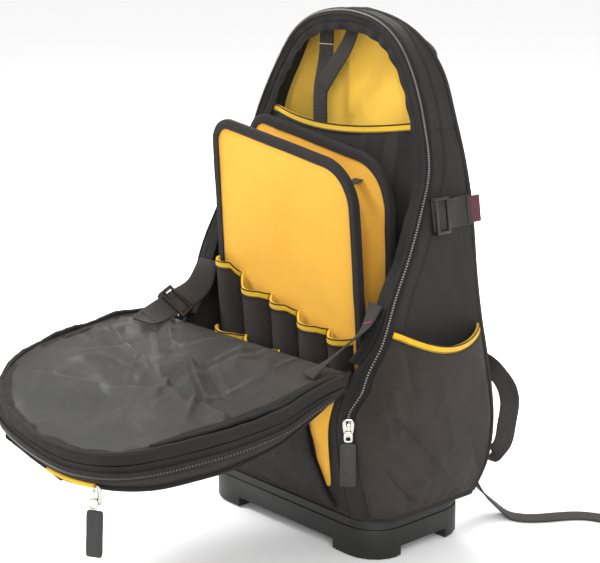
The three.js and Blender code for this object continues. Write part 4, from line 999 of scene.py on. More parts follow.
def divider(name, foot, lean, left, left_top, right, right_top, high_left, high_right, turn, seed):
    corners = [
        (left * HALF_WIDTH, DIVIDER_FLOOR), (right * HALF_WIDTH, DIVIDER_FLOOR),
        (right_top * HALF_WIDTH, high_right * DIVIDER_TOP), (left_top * HALF_WIDTH, high_left * DIVIDER_TOP),
    ]
    radii = [6, 6, turn * DIVIDER_TOP, 24]
    rim = rounded_outline(corners, radii, DIVIDER_BINDING - 2, 24)
    lower, upper = rim[:48], rim[48:]
    v = np.linspace(0, 1, 150)
    s = (1 - np.cos(math.pi * np.linspace(0, 1, 110))) / 2
    floor = rim[:, 1].min()
    crown = upper[np.argsort(upper[:, 0])]
    edge_left = np.interp(v, [0, 1], [lower[:, 0].min(), crown[0, 0]])
    edge_right = np.interp(v, [0, 1], [lower[:, 0].max(), crown[-1, 0]])
    x = edge_left[:, None] + (edge_right - edge_left)[:, None] * s[None]
    top = np.interp(x, crown[:, 0], crown[:, 1])
    z = floor + (top - floor) * v[:, None]
    for face, y, hint in (("front", 0.2, -1), ("back", DIVIDER_BOARD - 0.2, 1)):
        points = np.stack([x, 0 * x + y, z], -1)
        relief = 0.9 * slack(points * [1.6, 1, 0.5], 70, seed) + 0.5 * creases(points * [1, 1, 0.35], 60, seed + 5)
        inside = np.minimum(np.minimum(s, 1 - s)[None] * 8, (1 - v)[:, None] * 12)
        relief = (relief + 0.9) * np.minimum(inside, 1)
        relief = np.minimum(relief, BINDING_RISE - 0.1)
        panel(f"{name}_{face}_cloth", leaned(points, foot, lean), -0.9, 0, (0, hint, 0), YELLOW,
              [f"{name}_board"], relief)

    centre = rounded_outline(corners, radii, DIVIDER_BINDING / 2, 16)
    ring = np.column_stack([centre, np.zeros(len(centre))])
    centre = respace(np.vstack([ring, ring[:1]]), 420)[:-1, :2]
    tangent = unit(np.roll(centre, -1, 0) - np.roll(centre, 1, 0))
    inward = np.stack([-tangent[:, 1], tangent[:, 0]], -1)
    middle = DIVIDER_BOARD / 2
    waver = 0.35 * slack(np.column_stack([centre, np.zeros(len(centre))]), 18, seed + 2)
    path = leaned(np.stack([centre[:, 0], np.full(len(centre), middle), centre[:, 1]], -1), foot, lean)
    inner = centre + inward
    tip = leaned(np.stack([inner[:, 0], np.full(len(inner), middle), inner[:, 1]], -1), foot, lean)
    across = tip - path
    out = np.tile(np.array([0, -math.cos(lean), -math.sin(lean)]), (len(path), 1))
    thick = DIVIDER_BOARD / 2 + BINDING_RISE
    reach = DIVIDER_BINDING / 2
    section = [(reach, thick - 0.5), (0, thick), (-reach * 0.6, thick * 0.95),
               (-reach * 0.93, thick * 0.55), (-reach, 0)]
    section += [(a, -b) for a, b in section[-2::-1]]
    swept(f"{name}_tape", path + out * waver[:, None], across, out, section, TRIM,
          [f"{name}_binding"], closed=True, angle=50)
    for sign in (1, -1):
        line = path + across * (reach - 1.4) + out * (sign * (thick - 0.3) + waver[:, None])
        stitch(np.vstack([line, line[:1]]), np.vstack([out, out[:1]]) * sign)


POCKET_SWELL = 13
# name, left, low, tier, pockets as (width, top).
POCKET_ROWS = [
    ("upper_pockets", -0.764, 0.28, 0, [(0.257, 0.64), (0.3, 0.585), (0.271, 0.57), (0.3, 0.538), (0.229, 0.523)]),
    ("lower_pockets", -0.7, 0.185, 1, [(0.314, 0.475), (0.343, 0.463), (0.343, 0.45), (0.286, 0.44)]),
]


def pocket_row(name, left, low_share, tier, pockets, seed):
    """A row of open pockets on the front divider; the tier says how many rows it lies over."""
    foot, lean = DIVIDERS[0][1], DIVIDERS[0][2]
    stand = BINDING_RISE + GAP + CLOTH + tier * (POCKET_SWELL + CLOTH + BINDING_EXTRA * 0.75)
    xs, tops, outs, start = [], [], [], left
    for k, (width, top) in enumerate(pockets):
        u = np.linspace(0, 1, 27)[(1 if k else 0):]
        before = pockets[k - 1][1] if k else top
        after = pockets[k + 1][1] if k + 1 < len(pockets) else top
        blend = np.interp(u, [0, 0.2, 0.8, 1], [(top + before) / 2, top, top, (top + after) / 2])
        xs.append((start + u * width) * HALF_WIDTH)
        tops.append(blend * DIVIDER_TOP)
        outs.append(np.sin(math.pi * u) ** 0.7)
        start += width
    xs, tops, outs = (np.concatenate(v) for v in (xs, tops, outs))

    def face(z, v):
        return np.stack([xs + 0 * z, -stand - POCKET_SWELL * outs * np.minimum(1, 0.12 + 3 * v), z], -1)

    v = np.linspace(0, 1, 60)[:, None]
    z = low_share * DIVIDER_TOP + (tops[None] - BINDING - low_share * DIVIDER_TOP) * v
    points = face(z, v)
    relief = (0.8 * slack(points * [1, 1, 0.6], 24, seed)) * outs[None] * smoothstep(v, 0, 0.1) - 0.3
    place = leaned(points, foot, lean)
    panel(f"{name}_cloth", place, -DRAWN_CLOTH, 0, (0, -1, 0), POCKET, [name], relief)
    rise = bound_rise()
    trim = leaned(face(tops[None] - BINDING + rise, np.ones_like(rise)), foot, lean)
    bound_edge(f"{name}_tape", trim, (0, -1, 0), [f"{name}_binding"], CLOTH)


def bound_rise():
    """Heights of a bound edge's rows over the cloth below it."""
    return np.linspace(GAP, BINDING, 6)[:, None]


def bound_edge(name, trim, hint, nodes, depth):
    """A bound top edge: tape folded over the cloth, with black stitched borders."""
    rise = BINDING_EXTRA / 2
    _, grid, normal = panel(name, trim, -depth - rise, rise, hint, TAPE, nodes)
    for row in (0, grid.shape[0] - 1):
        along = heading(grid[row])
        border = grid[row] + normal[row] * rise * 0.9
        swept(f"{name}_edge_{row}", border, np.cross(along, normal[row]), normal[row],
              rounded_strip(1.5, 0.7, 3), TRIM)
    stitch(grid[1] + normal[1] * rise, normal[1], pitch=2.6, length=1.7)


# Soft creases of the back's yellow lining in the photograph.
LINING_BACK_FOLDS = [
    (352, 40, 352, 110, 8, 1.0, 1.3),
    (370, 50, 376, 110, 12, -0.7, 1.3),
    (300, 60, 292, 100, 10, 0.7, 1.3),
    (396, 60, 404, 120, 8, 0.7, 1.3),
]

BACK_POCKET_TOP = 404
BACK_POCKET_LOW = 214
BACK_POCKET_SAG = 11
BACK_POCKET_SWELL = 13
BACK_POCKET_STAND = 5
LINING_GAP = 2.7
LINING_CLOTH = 1.2


def back_inside():
    x, z, ix, iz = rim_at(np.linspace(float(share_at(BACK_POCKET_LOW)), CROWN, 110)[:, None])
    inset = CLOTH + GAP * 2
    x, z = x + ix * inset, z + iz * inset
    s = np.linspace(-1, 1, 120)[None]
    points = np.stack([s * x, back_at(z) - LINING_GAP + 0 * s, z + 0 * s], -1)
    relief = 1.1 * slack(points, 60, 71) + 2.4 * folds(points, LINING_BACK_FOLDS)
    relief *= smoothstep(1 - np.abs(s), 0, 0.1)
    # The lining inside the back takes the lighter yellow copy, painted light against the shade inside the bag.
    panel("yellow_back", points, 0, LINING_CLOTH, (0, -1, 0), PAINTED_LIGHT_YELLOW, ["back_lining"],
          np.clip(relief, -0.6, 3))

    def front_of(z):
        return np.maximum(front_at(z) + CLOTH + BINDING_EXTRA + GAP * 3, BACK_POCKET_STAND)

    def edge_of(z):
        x, _, ix, _ = rim_at(share_at(z))
        corner = corner_at(z)
        short = np.maximum(0, corner - (front_of(z) - front_at(z) - BINDING_EXTRA))
        curl = corner - np.sqrt(np.maximum(corner**2 - short**2, 0))
        return x - (curl + CLOTH + BINDING_EXTRA + GAP * 2) / np.maximum(-ix, 0.5)

    def face(u, z):
        edge = edge_of(z + BINDING)
        free = 1 - (corner_at(z) + FLANGE_WIDTH + CLOTH * 2) / edge
        side = np.minimum(1, np.abs(2 * u - 1) / free)
        fullness = smoothstep(z, BACK_POCKET_LOW, BACK_POCKET_TOP)
        rear = back_at(z) - LINING_GAP - LINING_CLOTH - CLOTH - GAP * 2
        tuck = 1 - smoothstep(z, BACK_POCKET_LOW, BACK_POCKET_LOW + BACK_POCKET_TOP / 10)
        y = front_of(z + BINDING) - BACK_POCKET_SWELL * (1 - side**2) * fullness
        return np.stack([-edge + 2 * edge * u, y + (rear - y) * tuck, z + 0 * u], -1)

    u = np.linspace(0, 1, 150)[None]
    top = BACK_POCKET_TOP - BINDING - BACK_POCKET_SAG * np.sin(math.pi * u)
    v = np.linspace(0, 1, 100)[:, None]
    z = BACK_POCKET_LOW + (top - BACK_POCKET_LOW) * v
    points = face(u + 0 * z, z)
    relief = folds(points, BACK_FOLDS) + 0.6 * slack(points * [1, 1, 0.5], 34, 81)
    relief *= smoothstep(1 - np.abs(2 * u - 1), 0, 0.2)
    panel("back_pocket_cloth", points, -DRAWN_CLOTH, 0, (0, -1, 0), PACK, ["back_pocket"],
          relief)
    rise = bound_rise()
    trim = face(u + 0 * rise, top + 0 * rise) + (rise + 0 * u)[..., None] * UPRIGHT
    bound_edge("back_pocket_tape", trim, (0, -1, 0), ["back_pocket_binding"], CLOTH)


# Folds of the wide pocket's cloth in the photograph.
BACK_FOLDS = [
    (400, 128, 392, 190, 9, 2.0, 1.4),
    (384, 140, 378, 200, 7, -1.6, 1.4),
    (412, 132, 408, 200, 8, -1.2, 1.4),
    (368, 135, 362, 170, 8, 1.2, 1.4),
]

LEVEL_WIDTH = 17
LEVEL_BAR = 17  # the point of the long strap's path that the pale bar of stitches crosses
# side, hang, ahead.
LONG_STRAP = [(-0.257, 1, 0), (-0.264, 0.65, 0.6), (-0.3, 0.32, 1.9), (-0.286, 0, 3.1)]
SHORT_STRAP = [(0.029, 0.955, 0), (-0.029, 0.74, 1.6), (-0.15, 0.53, 2.6), (-0.264, 0.34, 3)]


def level_straps():
    y = float(back_at(BACK_POCKET_TOP)) - LINING_CLOTH - LEVEL_WIDTH
    low_end = BACK_POCKET_TOP - BACK_POCKET_SAG - BINDING

    def ceiling(x):
        over = right_points[right_shares > share_at(BASE_HEIGHT + BODY_HEIGHT / 2)]
        return np.interp(-(abs(x) + LEVEL_WIDTH / 2), -over[:, 0], over[:, 1]) - CLOTH - GAP * 3

    for name, table, across, width in (
        ("level_strap_long", LONG_STRAP, (1, 0.15, 0), LEVEL_WIDTH),
        ("level_strap_short", SHORT_STRAP, (1, 0.1, 0.5), LEVEL_WIDTH * 0.9),
    ):
        top = ceiling(table[0][0] * HALF_WIDTH)
        route = [
            (side * HALF_WIDTH, y - ahead * WEB_THICK, low_end + (top - low_end) * hang)
            for side, hang, ahead in table
        ]
        path = smooth_path(route, 70)
        strap(f"{name}_web", path, across, width, WEB_THICK, [name])
        if table is LONG_STRAP:
            bar = path[LEVEL_BAR] + np.outer(np.linspace(-0.5, 0.5, 12), across) * width
            stitch(bar + [0, -WEB_THICK / 2, 0], (0, -1, 0), pitch=1.3, colour="pale")


# ---- side pockets and front pocket

SIDE_SWELL = 25
SIDE_LOW = 45
SIDE_FRONT_TOP = 228
SIDE_BACK_TOP = 216
SIDE_SAG = 12
swell_at = reader([(0, 0.03), (0.08, 0.4), (0.25, 0.78), (0.55, 1), (0.85, 0.96), (1, 0.86)], 1)

# Folds of the right side pocket in the photograph.
POCKET_FOLDS = [
    (397, 420, 430, 455, 12, -2.2, 1.5),
    (388, 440, 425, 478, 10, 1.8, 1.3),
    (384, 470, 410, 500, 9, -1.8, 1.4),
    (392, 395, 402, 430, 9, 1.4, 1.5),
    (420, 440, 470, 500, 16, 1.4, 1.6),
    (440, 380, 452, 440, 14, 1.0, 1.6),
    (470, 430, 486, 480, 10, -1.5, 1.5),
    (478, 360, 488, 420, 9, 1.0, 1.5),
    (404, 350, 412, 390, 10, -0.9, 1.5),
]


def side_pocket(mirror, side):
    def face(u, v, rise=0.0):
        top = SIDE_FRONT_TOP + (SIDE_BACK_TOP - SIDE_FRONT_TOP) * u - SIDE_SAG * np.sin(math.pi * u)
        z = SIDE_LOW + (top - BINDING - SIDE_LOW) * v + rise
        start = zip_run(z) + ZIP_WIDTH / 2 + CLOTH * 2
        end = run_length(z) - CLOTH * 2
        out = SIDE_SWELL * swell_at(v) * np.sin(math.pi * u) ** 0.75
        point, _ = gusset(share_at(z), start + (end - start) * u, GAP * 1.5 + out)
        point[..., 0] *= mirror
        return point

    u = np.linspace(0, 1, 130)[None]
    v = np.linspace(0, 1, 130)[:, None]
    points = face(u + 0 * v, v + 0 * u)
    relief = 1.6 * slack(points * [1, 0.8, 1], 44, 91 + mirror) + 0.9 * creases(points * [1, 0.7, 0.8], 38, 95 + mirror)
    gather = np.sin(u * 44) * np.exp(-v / 0.09) * 1.6
    relief = relief + gather * smoothstep(u, 0.02, 0.2) * smoothstep(1 - u, 0.02, 0.2)
    relief += 2.0 * folds(points, POCKET_FOLDS) * (mirror > 0)
    relief *= faded(u, 0.07, 0.07)
    relief *= smoothstep(v, 0, 0.05) * smoothstep(1.12 - v, 0, 0.2)
    hint = np.array([mirror, 0, 0])
    _, grid, normal = panel(f"side_pocket_{side}_cloth", points, 0, CLOTH, hint, POCKET,
                            [f"side_pocket_{side}"], relief)
    for column in (2, -3):
        stitch(grid[:, column] + normal[:, column] * CLOTH, normal[:, column])
    rise = bound_rise()
    trim = face(u + 0 * rise, np.ones_like(rise) + 0 * u, rise + 0 * u)
    normal, _ = normals_of(trim, hint)
    bound_edge(f"side_pocket_{side}_tape", trim + normal * CLOTH, hint, [f"side_pocket_{side}_binding"], CLOTH)


POCKET_LOW = 47
FRONT_TOP = HINGE - 27
FRONT_LEFT = -104
FRONT_RIGHT = 62
FRONT_EDGE = 15
FRONT_SWELL = 6
WEDGE_LOW = 72
WEDGE_TOP = HINGE - 22
WEDGE_WIDTH = 30
WEDGE_FOLDS = [(330, 410, 326, 470, 4, 0.9, 1.3)]


def front_pocket():
    def face(x, z):
        u = np.clip((x - FRONT_LEFT) / (FRONT_RIGHT - FRONT_LEFT), 0, 1)
        v = np.clip((z - POCKET_LOW) / (FRONT_TOP - POCKET_LOW), 0, 1)
        out = FRONT_SWELL * np.sin(math.pi * v) ** 0.6 * (0.35 + 0.65 * u)
        return np.stack([x, front_at(z) - GAP - out, z + 0 * x], -1)

    z = np.linspace(POCKET_LOW, FRONT_TOP, 80)[:, None]
    right = FRONT_RIGHT + GAP
    left = FRONT_LEFT - GAP
    for name, x0, x1, columns, material, slot, thick in (
        ("front_pocket_mesh", FRONT_LEFT, FRONT_RIGHT, 110, MESH, "pocket_mesh", 1.2),
        ("front_pocket_edge_right", right, right + FRONT_EDGE, 20, TRIM, "black_trim", 3.0),
        ("front_pocket_edge_left", left - FRONT_EDGE, left, 20, TRIM, "black_trim", 3.0),
    ):
        x = np.linspace(x0, x1, columns)[None] + 0 * z
        points = face(x, z + 0 * x)
        relief = 0.7 * slack(points, 22, 101 + columns)
        if material is TRIM:
            relief += 0.8 * np.sin((x - x0) / (x1 - x0) * math.pi) - 0.4
        _, grid, normal = panel(f"{name}_cloth", points, 0, thick, (0, -1, 0), material, [name], relief)
        if material is TRIM:
            for column in (3, -4):
                stitch(grid[:, column] + normal[:, column] * thick, normal[:, column])
    v = np.linspace(0, 1, 70)[:, None]
    u = np.linspace(0, 1, 26)[None]
    z = WEDGE_LOW + (WEDGE_TOP - WEDGE_LOW) * v
    inner = right + FRONT_EDGE + GAP * 2
    outer = inner + WEDGE_WIDTH * (0.1 + 0.9 * v**0.7)
    y = front_at(z) - GAP - 5 * np.sin(math.pi * u) * v
    points = np.stack([inner + (outer - inner) * u, y, z + 0 * u], -1)
    relief = (0.5 * slack(points, 20, 111) + folds(points, WEDGE_FOLDS)) * smoothstep(v, 0, 0.2)
    panel("front_pocket_fold", points, 0, LINING_CLOTH, (0, -1, 0), YELLOW,
          ["front_pocket_lining"], relief)


# ---- flap

# The slack lining's main creases in the photograph: x, y, x, y, half width, height, sharpness.
LINING_FOLDS = [
    (147, 364, 190, 365, 9, 4.0, 1.0),
    (222, 362, 266, 362, 10, 3.0, 1.1),
    (160, 368, 190, 398, 16, -6.5, 1.2),
    (192, 366, 206, 400, 7, 5.5, 1.0),
    (206, 366, 224, 394, 7, -3.6, 1.0),
    (236, 362, 252, 326, 14, 3.4, 1.1),
    (168, 322, 172, 352, 8, 3.4, 1.1),
    (156, 324, 158, 350, 6, -2.6, 1.1),
    (126, 330, 168, 318, 8, 2.6, 1.1),
    (52, 350, 112, 402, 34, 2.2, 1.1),
    (30, 405, 96, 412, 18, -1.6, 1.2),
    (100, 425, 190, 408, 20, 3.0, 1.5),
]
# Sharp ledges in it, as x, y, x, y, width, height: the side to the right of each line is the high one,
# or the low one where the height is negative.
LINING_LEDGES = [
    (108, 330, 147, 364, 40, 8.0),
    (145, 362, 170, 386, 36, 9.0),
    (168, 384, 198, 403, 30, 8.5),
    (196, 402, 228, 417, 18, 6.0),
    (266, 361, 190, 364, 26, -4.0),
    (98, 386, 178, 393, 26, 2.8),
    (40, 374, 104, 386, 24, 2.6),
    (58, 350, 122, 352, 20, 2.4),
    (118, 412, 182, 398, 22, 2.2),
]

LINING_INSET = 3.8
LINING_HINGE_INSET = 2.6  # more of it along the hinge
LINING_DIP = 6
FLAP_MIDDLE = np.array([-10.0, -215.0, 160.0])
# The flap's cloth turned over beside the right stay: start and end on the rim, and the insets of its three folds.
TURNED_CLOTH = (0.04, 0.25)
TURNED_INSETS = (9.5, 14, 18.5)
FLAP_ZIP = (0.05, 0.95)
ZIP_DOWN = 0.22  # the zip's place between the band and the wall's lower edge
PIPED = (0.332, 0.437)  # what shows of the outside pocket's piping, along the rim


def flap_wall(shares):
    depth = flap_depth(flap_outline.at(shares)[..., 1])
    start = FLAP_BAND + GAP * 2
    w = np.linspace(0, 1, 26)[None]
    inset = FLAP_TURN * smoothstep(w, 0.5, 1) - 1.5 * np.sin(math.pi * w)
    points = flap_rim(shares, inset, start + (depth - start) * w)
    relief = 0.9 * slack(points, 44, 121) + 0.4 * creases(points, 36, 127)
    relief -= groove((w - 0.36) * (depth - start), 1.4)
    relief *= faded(w, 0.12, 0.1)
    panel("flap_wall", points, -CLOTH, 0, points - FLAP_MIDDLE, PACK, ["flap_shell"], relief)


def flap_span(shares, inset, hinge_inset=0):
    """Half the flap's width, and how far out that is, inside its outline by an inset, more at the hinge."""
    rim = flap_outline.at(shares)
    beside = inset + hinge_inset * (rim[..., 1] < 0.1)
    return np.maximum(rim[..., 0] - beside / FLAP_HALF, 0.002), np.minimum(rim[..., 1], 1 - inset / FLAP_REACH)


def flap_face(shares):
    half_shares = np.linspace(0, CROWN, 150)[:, None]
    narrow, far = flap_span(half_shares, FLAP_TURN)
    s = spread(130)
    points = flap_point(s * narrow, far + 0 * s, flap_depth(far) + 0 * s)
    relief = 2.2 * slack(points, 80, 131) + 0.6 * creases(points, 50, 137)
    relief *= smoothstep(1 - np.abs(s), 0, 0.12) * smoothstep(half_shares, 0, 0.02)
    panel("flap_front_panel", points, -CLOTH, 0, (0, 0, -1), PACK, ["flap_shell"], relief - 0.2)
    edge = shares[:, 0]
    seam = flap_rim(edge, 5.2, flap_depth(flap_outline.at(edge)[..., 1]) - 0.2)
    level_roll("flap_seam", seam, 1.6, 1.6, TRIM, sides=8)


def flap_band(shares):
    w = np.linspace(0, 1, 8)[None]
    points = flap_rim(shares, 0, FLAP_BAND * w)
    wavy = np.sin(shares * 210) * smoothstep(shares, 0.45, 0.6) * 0.7
    relief = 0.6 * slack(points, 18, 141) + wavy * np.sin(math.pi * w) - 0.3
    panel("flap_band", points, -FLAP_BAND_THICK, 0, points - FLAP_MIDDLE, TRIM, ["flap_rim_band"],
          relief)

    edge = shares[:, 0]
    loose = 0.6 + 1.1 * smoothstep(edge, 0.4, 0.55)
    rolled = flap_rim(edge, FLAP_BAND_THICK / 2, 0.4)
    rolled[:, 2] += loose * slack(rolled, 16, 151) + 0.6
    level_roll("flap_band_roll", rolled, 2.3, 1.8, TRIM)
    turning = flap_rim(edge, FLAP_BAND_THICK + 3.4, 1.8)
    turning[:, 2] += (0.5 + loose) * slack(turning, 20, 157)
    level_roll("flap_band_turning", turning, 4.2, 1.1, TRIM, guide=rolled)
    stitch(turning + 1.2 * UPRIGHT, UPRIGHT)

    start, end = TURNED_CLOTH
    near = np.linspace(start, end, 120)
    taper = np.sin(math.pi * (near - start) / (end - start))
    for k, inset in enumerate(TURNED_INSETS):
        line = flap_rim(near, 6 + (inset - 6) * taper**0.6, 0.5 + 0.8 * k)
        line[:, 2] += 1.4 * slack(line, 24, 171 + k) * taper + 1.2
        level_roll(f"flap_turning_fold_{k}", line, 3.4, 1.9, INNER)


def flap_lining():
    half_shares = np.linspace(0, CROWN, 260)[:, None]
    narrow, far = flap_span(half_shares, LINING_INSET, LINING_HINGE_INSET)
    s = spread(230)
    across = 1 - np.abs(s)
    sunk = np.sin(math.pi / 2 * np.minimum(across * 1.6, 1)) * np.minimum(1, far * 5) * smoothstep(1 - far, 0, 0.3)
    points = flap_point(s * narrow, far + 0 * s, 1.2 + LINING_DIP * sunk)
    relief = folds(points, LINING_FOLDS) + ledges(points, LINING_LEDGES)
    relief += 2.0 * slack(points, 46, 161) + 1.5 * creases(points, 62, 163) + 0.4 * creases(points, 24, 167)
    relief *= smoothstep(across, 0, 0.16) * faded(far, 0.06, 0.08)
    piece, grid, _ = panel("slack_lining", points, -0.5, 0, (0, 0, 1), LINING, ["flap_lining"],
                           np.clip(relief, -9, 10), angle=60)


def flap_zip():
    shares = np.linspace(*FLAP_ZIP, 420)
    depth = flap_depth(flap_outline.at(shares)[..., 1])
    drop = FLAP_BAND + (depth - FLAP_BAND) * ZIP_DOWN + ZIP_WIDTH / 2
    path = flap_rim(shares, -0.9 - ROOM * 2, drop)
    along = heading(path)
    outer = unit(path - flap_rim(shares, 6, drop))
    upward = np.cross(outer, along)
    upward = upward * np.sign(upward[:, 2:3])
    swept("flap_zip_tape", path - outer * 1.0, upward, outer, rounded_strip(ZIP_WIDTH + 1.5, 1.2), TRIM,
          ["flap_zip"])
    teeth("flap_zip_teeth", path - outer * 0.9, along, upward, outer, -1.6, DIM_TEETH)


def flap_piping():
    shares = np.linspace(*PIPED, 90)
    drop = flap_depth(flap_outline.at(shares)[..., 1]) - 4
    path = flap_rim(shares, 1, drop)
    along = heading(path)
    outer = unit(path - flap_rim(shares, 8, drop))
    swept("pocket_piping", path + outer * 0.4, np.cross(outer, along), outer, round_section(1.9, 1.9, 10), TAPE,
          ["flap_piping"])


def flap():
    shares = np.linspace(0, 1, 400)[:, None]
    flap_wall(shares)
    flap_face(shares)
    flap_band(shares)
    flap_lining()
    flap_zip()
    flap_piping()


# ---- straps and buckles

COMPRESSION = 324
TAB = 13
BAR_SPREAD = 7
BAR_WIDTH = 3
BAR_THICK = 1.8
STRAP_ROOM = 1.2
BUCKLE_LIFT = WEB_THICK / 2 + BAR_THICK + STRAP_ROOM + GAP * 2


LOOP_BACK = 5  # how far the folded end lies on its strap
BEND_AT = 0.62  # where the strap comes down on the side, as a share from the buckle to its end


def compression(mirror, side):
    share = float(share_at(COMPRESSION))

    def on_side(run, lift, at=share):
        point, _ = gusset(at, run, lift)
        return point * [mirror, 1, 1]

    end = float(run_length(COMPRESSION))
    start = float(zip_run(COMPRESSION)) + ZIP_WIDTH + ROOM * 2.6
    buckle_run = start + BAR_SPREAD + BAR_WIDTH
    flat = WEB_THICK / 2 + GAP
    lower = on_side(buckle_run, 0, float(share_at(COMPRESSION - WEB / 2)))
    upper = on_side(buckle_run, 0, float(share_at(COMPRESSION + WEB / 2)))
    across = upper - lower
    route = [
        on_side(start, BUCKLE_LIFT), on_side(buckle_run + BAR_SPREAD + BAR_WIDTH, BUCKLE_LIFT),
        on_side(buckle_run + (end - buckle_run) * BEND_AT, flat), on_side(end, flat),
    ]
    path = smooth_path(route, 60)
    strap(f"compression_web_{side}", path, across, WEB + 3, WEB_THICK, [f"compression_strap_{side}"])
    tab = np.array([on_side(run, flat) for run in np.linspace(end + GAP, end + TAB, 14)])
    strap(f"side_tab_{side}", tab, across, WEB, 2.0, [f"compression_tab_{side}"], MAROON)
    loop = np.array([on_side(run, flat + 0.9) for run in np.linspace(end - LOOP_BACK, end + 0.5, 6)])
    strap(f"strap_loop_{side}", loop, across, WEB + 2, 1.4, [])
    refined(f"compression_buckle_{side}", PLASTIC, 0.7, 3)


# side, mirror, sideways, out, wide, sag, turn, the path's point that the bar of stitches crosses, its colour.
STAYS = [
    ("left", -1, 0.78, 0.27, 1, 17, (0.66, -0.35, 0.62), 100, "black"),
    ("right", 1, 0.8, 0.13, 0.8, 12, (0.8, -0.3, 0.5), 22, "pink"),
]
# How a stay hangs: share of its length, drop as a share of its sag.
STAY_HANG = [(0.16, 1), (0.45, 0.8), (0.75, 0.4)]
STAY_HIGH = 250


def stays():
    for side, mirror, sideways, out, wide, sag, turn, bar_at, colour in STAYS:
        width = wide * WEB
        x = float(rim_at(share_at(STAY_HIGH))[0])
        inside = x - float(corner_at(STAY_HIGH)) - ROOM - width / 2
        start = np.array([mirror * inside, float(front_at(STAY_HIGH)) - CLOTH - WEB_THICK - GAP, STAY_HIGH])
        end = flap_point(mirror * sideways, out, 3 - WEB_THICK - GAP * 3)
        hanging = [start + (end - start) * share - drop * sag * UPRIGHT for share, drop in STAY_HANG]
        path = smooth_path([start, *hanging, end], 110)
        turned = unit(np.array([mirror * turn[0], turn[1], turn[2]]))
        lean = np.sin(np.linspace(0, math.pi, 111))[:, None] ** 0.6
        across = np.array([mirror, 0, 0.0]) * (1 - lean) + turned * lean
        strap(f"stay_web_{side}", path, across, width, WEB_THICK, [f"stay_strap_{side}"])
        bar = path[bar_at] + np.outer(np.linspace(-0.4, 0.4, 12), across[bar_at]) * width
        face = np.cross(across[bar_at], path[bar_at] - path[bar_at + 1])
        face = face * np.sign(face[2])
        stitch(bar + unit(face) * WEB_THICK / 2, face, pitch=1.3, colour=colour)
    refined("stay_buckle_left", PLASTIC, 0.7, 3)


HANDLE = 448
HANDLE_HALF = 62
HANDLE_RISE = 24
HANDLE_WIDTH = 18


def carry_handle():
    lowest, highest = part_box("carry_handle")
    y = (lowest.y + highest.y) * 500 - SHIFT[1]
    right = [
        (HANDLE_HALF, y, HANDLE), (HANDLE_HALF + 1, y, HANDLE + HANDLE_RISE * 0.45),
        (HANDLE_HALF * 0.82, y, HANDLE + HANDLE_RISE * 0.86), (HANDLE_HALF * 0.42, y, HANDLE + HANDLE_RISE),
    ]
    route = right + [(0, y, HANDLE + HANDLE_RISE)] + [(-a, b, c) for a, b, c in right[::-1]]
    strap("handle_web", smooth_path(route, 120), (0, 1, 0), HANDLE_WIDTH, 3.5, ["carry_handle"])


# The padded strap's middle line: side, height, stand.
PAD = [(0.27, 436, 0), (0.29, 405, 3), (0.33, 350, 9), (0.4, 290, 12), (0.5, 230, 8), (0.57, 190, 4)]
# The lower webbing's bow: out, height, stand.
BOW = [(1.02, 154, 2), (1.09, 138, 2), (1.07, 112, 3), (1.0, 84, 6)]
PAD_WIDTH = 55
PAD_THICK = 12
PAD_EDGE = 1.2  # the pad's half thickness at its very edge
LOCK_ASIDE = (3, 2)
LOWER_WEB = 20
WEB_CORNER = 60
LOCK_DROP = 16
TAIL_ROOM = 0.5
# The free tails: side, back, lift.
TAIL_FALL = (0.543, 0.539, 3.07)
RIGHT_TAIL = [
    TAIL_FALL, (0.571, 0.551, 1.7), (0.7, 0.633, 0.65), (0.829, 0.671, 0.24), (0.929, 0.7, 0.03), (1.021, 0.729, 0),
    (1.114, 0.812, 0), (1.186, 0.912, 0), (1.271, 1.006, 0), (1.386, 1.065, 0), (1.471, 1.082, 0),
]
LEFT_TAIL = [TAIL_FALL, (0.557, 0.551, 1.28)]
# side, along, up: where the width of the webbing and of the lying tail points.
WEB_TURN = (0.45, 0.9, 0)
WEB_END_TURN = (0.8, 0, 0.6)
TAIL_TURN = (0.8, -0.6, 0)


def shoulder_pad(mirror, side):
    """The padded strap; gives back the middle of its lower end."""
    def rear(z):
        return float(back_at(z)) + BACK_EDGE + BACK_PADDING + GAP + PAD_THICK / 2

    path = smooth_path([(mirror * s * HALF_WIDTH, rear(h) + stand, h) for s, h, stand in PAD], 150)
    along = heading(path)
    across = squared(np.tile([1.0, 0, 0], (len(path), 1)), along)
    out = np.cross(along, across)
    out = out * np.sign(out[:, 1:2])
    flat, thick = PAD_WIDTH / 2, PAD_THICK / 2
    section = []
    for x in np.linspace(-flat + 0.6, flat - 0.6, 21):
        r = abs(x) / flat
        section.append((x, min(thick, PAD_EDGE + (thick - 0.9) * (1 - r**4) ** 0.7)))
    section = section + [(x, -y * 0.95) for x, y in section[::-1]]
    piece = swept(f"shoulder_pad_{side}_cloth", path, across, out, section, POCKET,
                  [f"shoulder_pad_{side}"], angle=55)
    for sign, edge_name in ((-1, "in"), (1, "out")):
        edge = path + across * sign * (flat - 1.6)
        swept(f"shoulder_pad_{side}_edge_{edge_name}", edge, across, out, rounded_strip(3.2, 3.0), TRIM)
        stitch(path + across * sign * (flat - 7) + out * (thick * 0.62), out)
    on_band = slice(8, -4)
    out = out[on_band]
    band = path[on_band] + out * (thick + 0.9)
    strap(f"shoulder_pad_{side}_band", band, across[on_band], WEB, 1.4, [])
    for sign in (-1, 1):
        stitch(band + across[on_band] * sign * (WEB / 2 - 2) + out * 0.8, out)
    return path[-1]


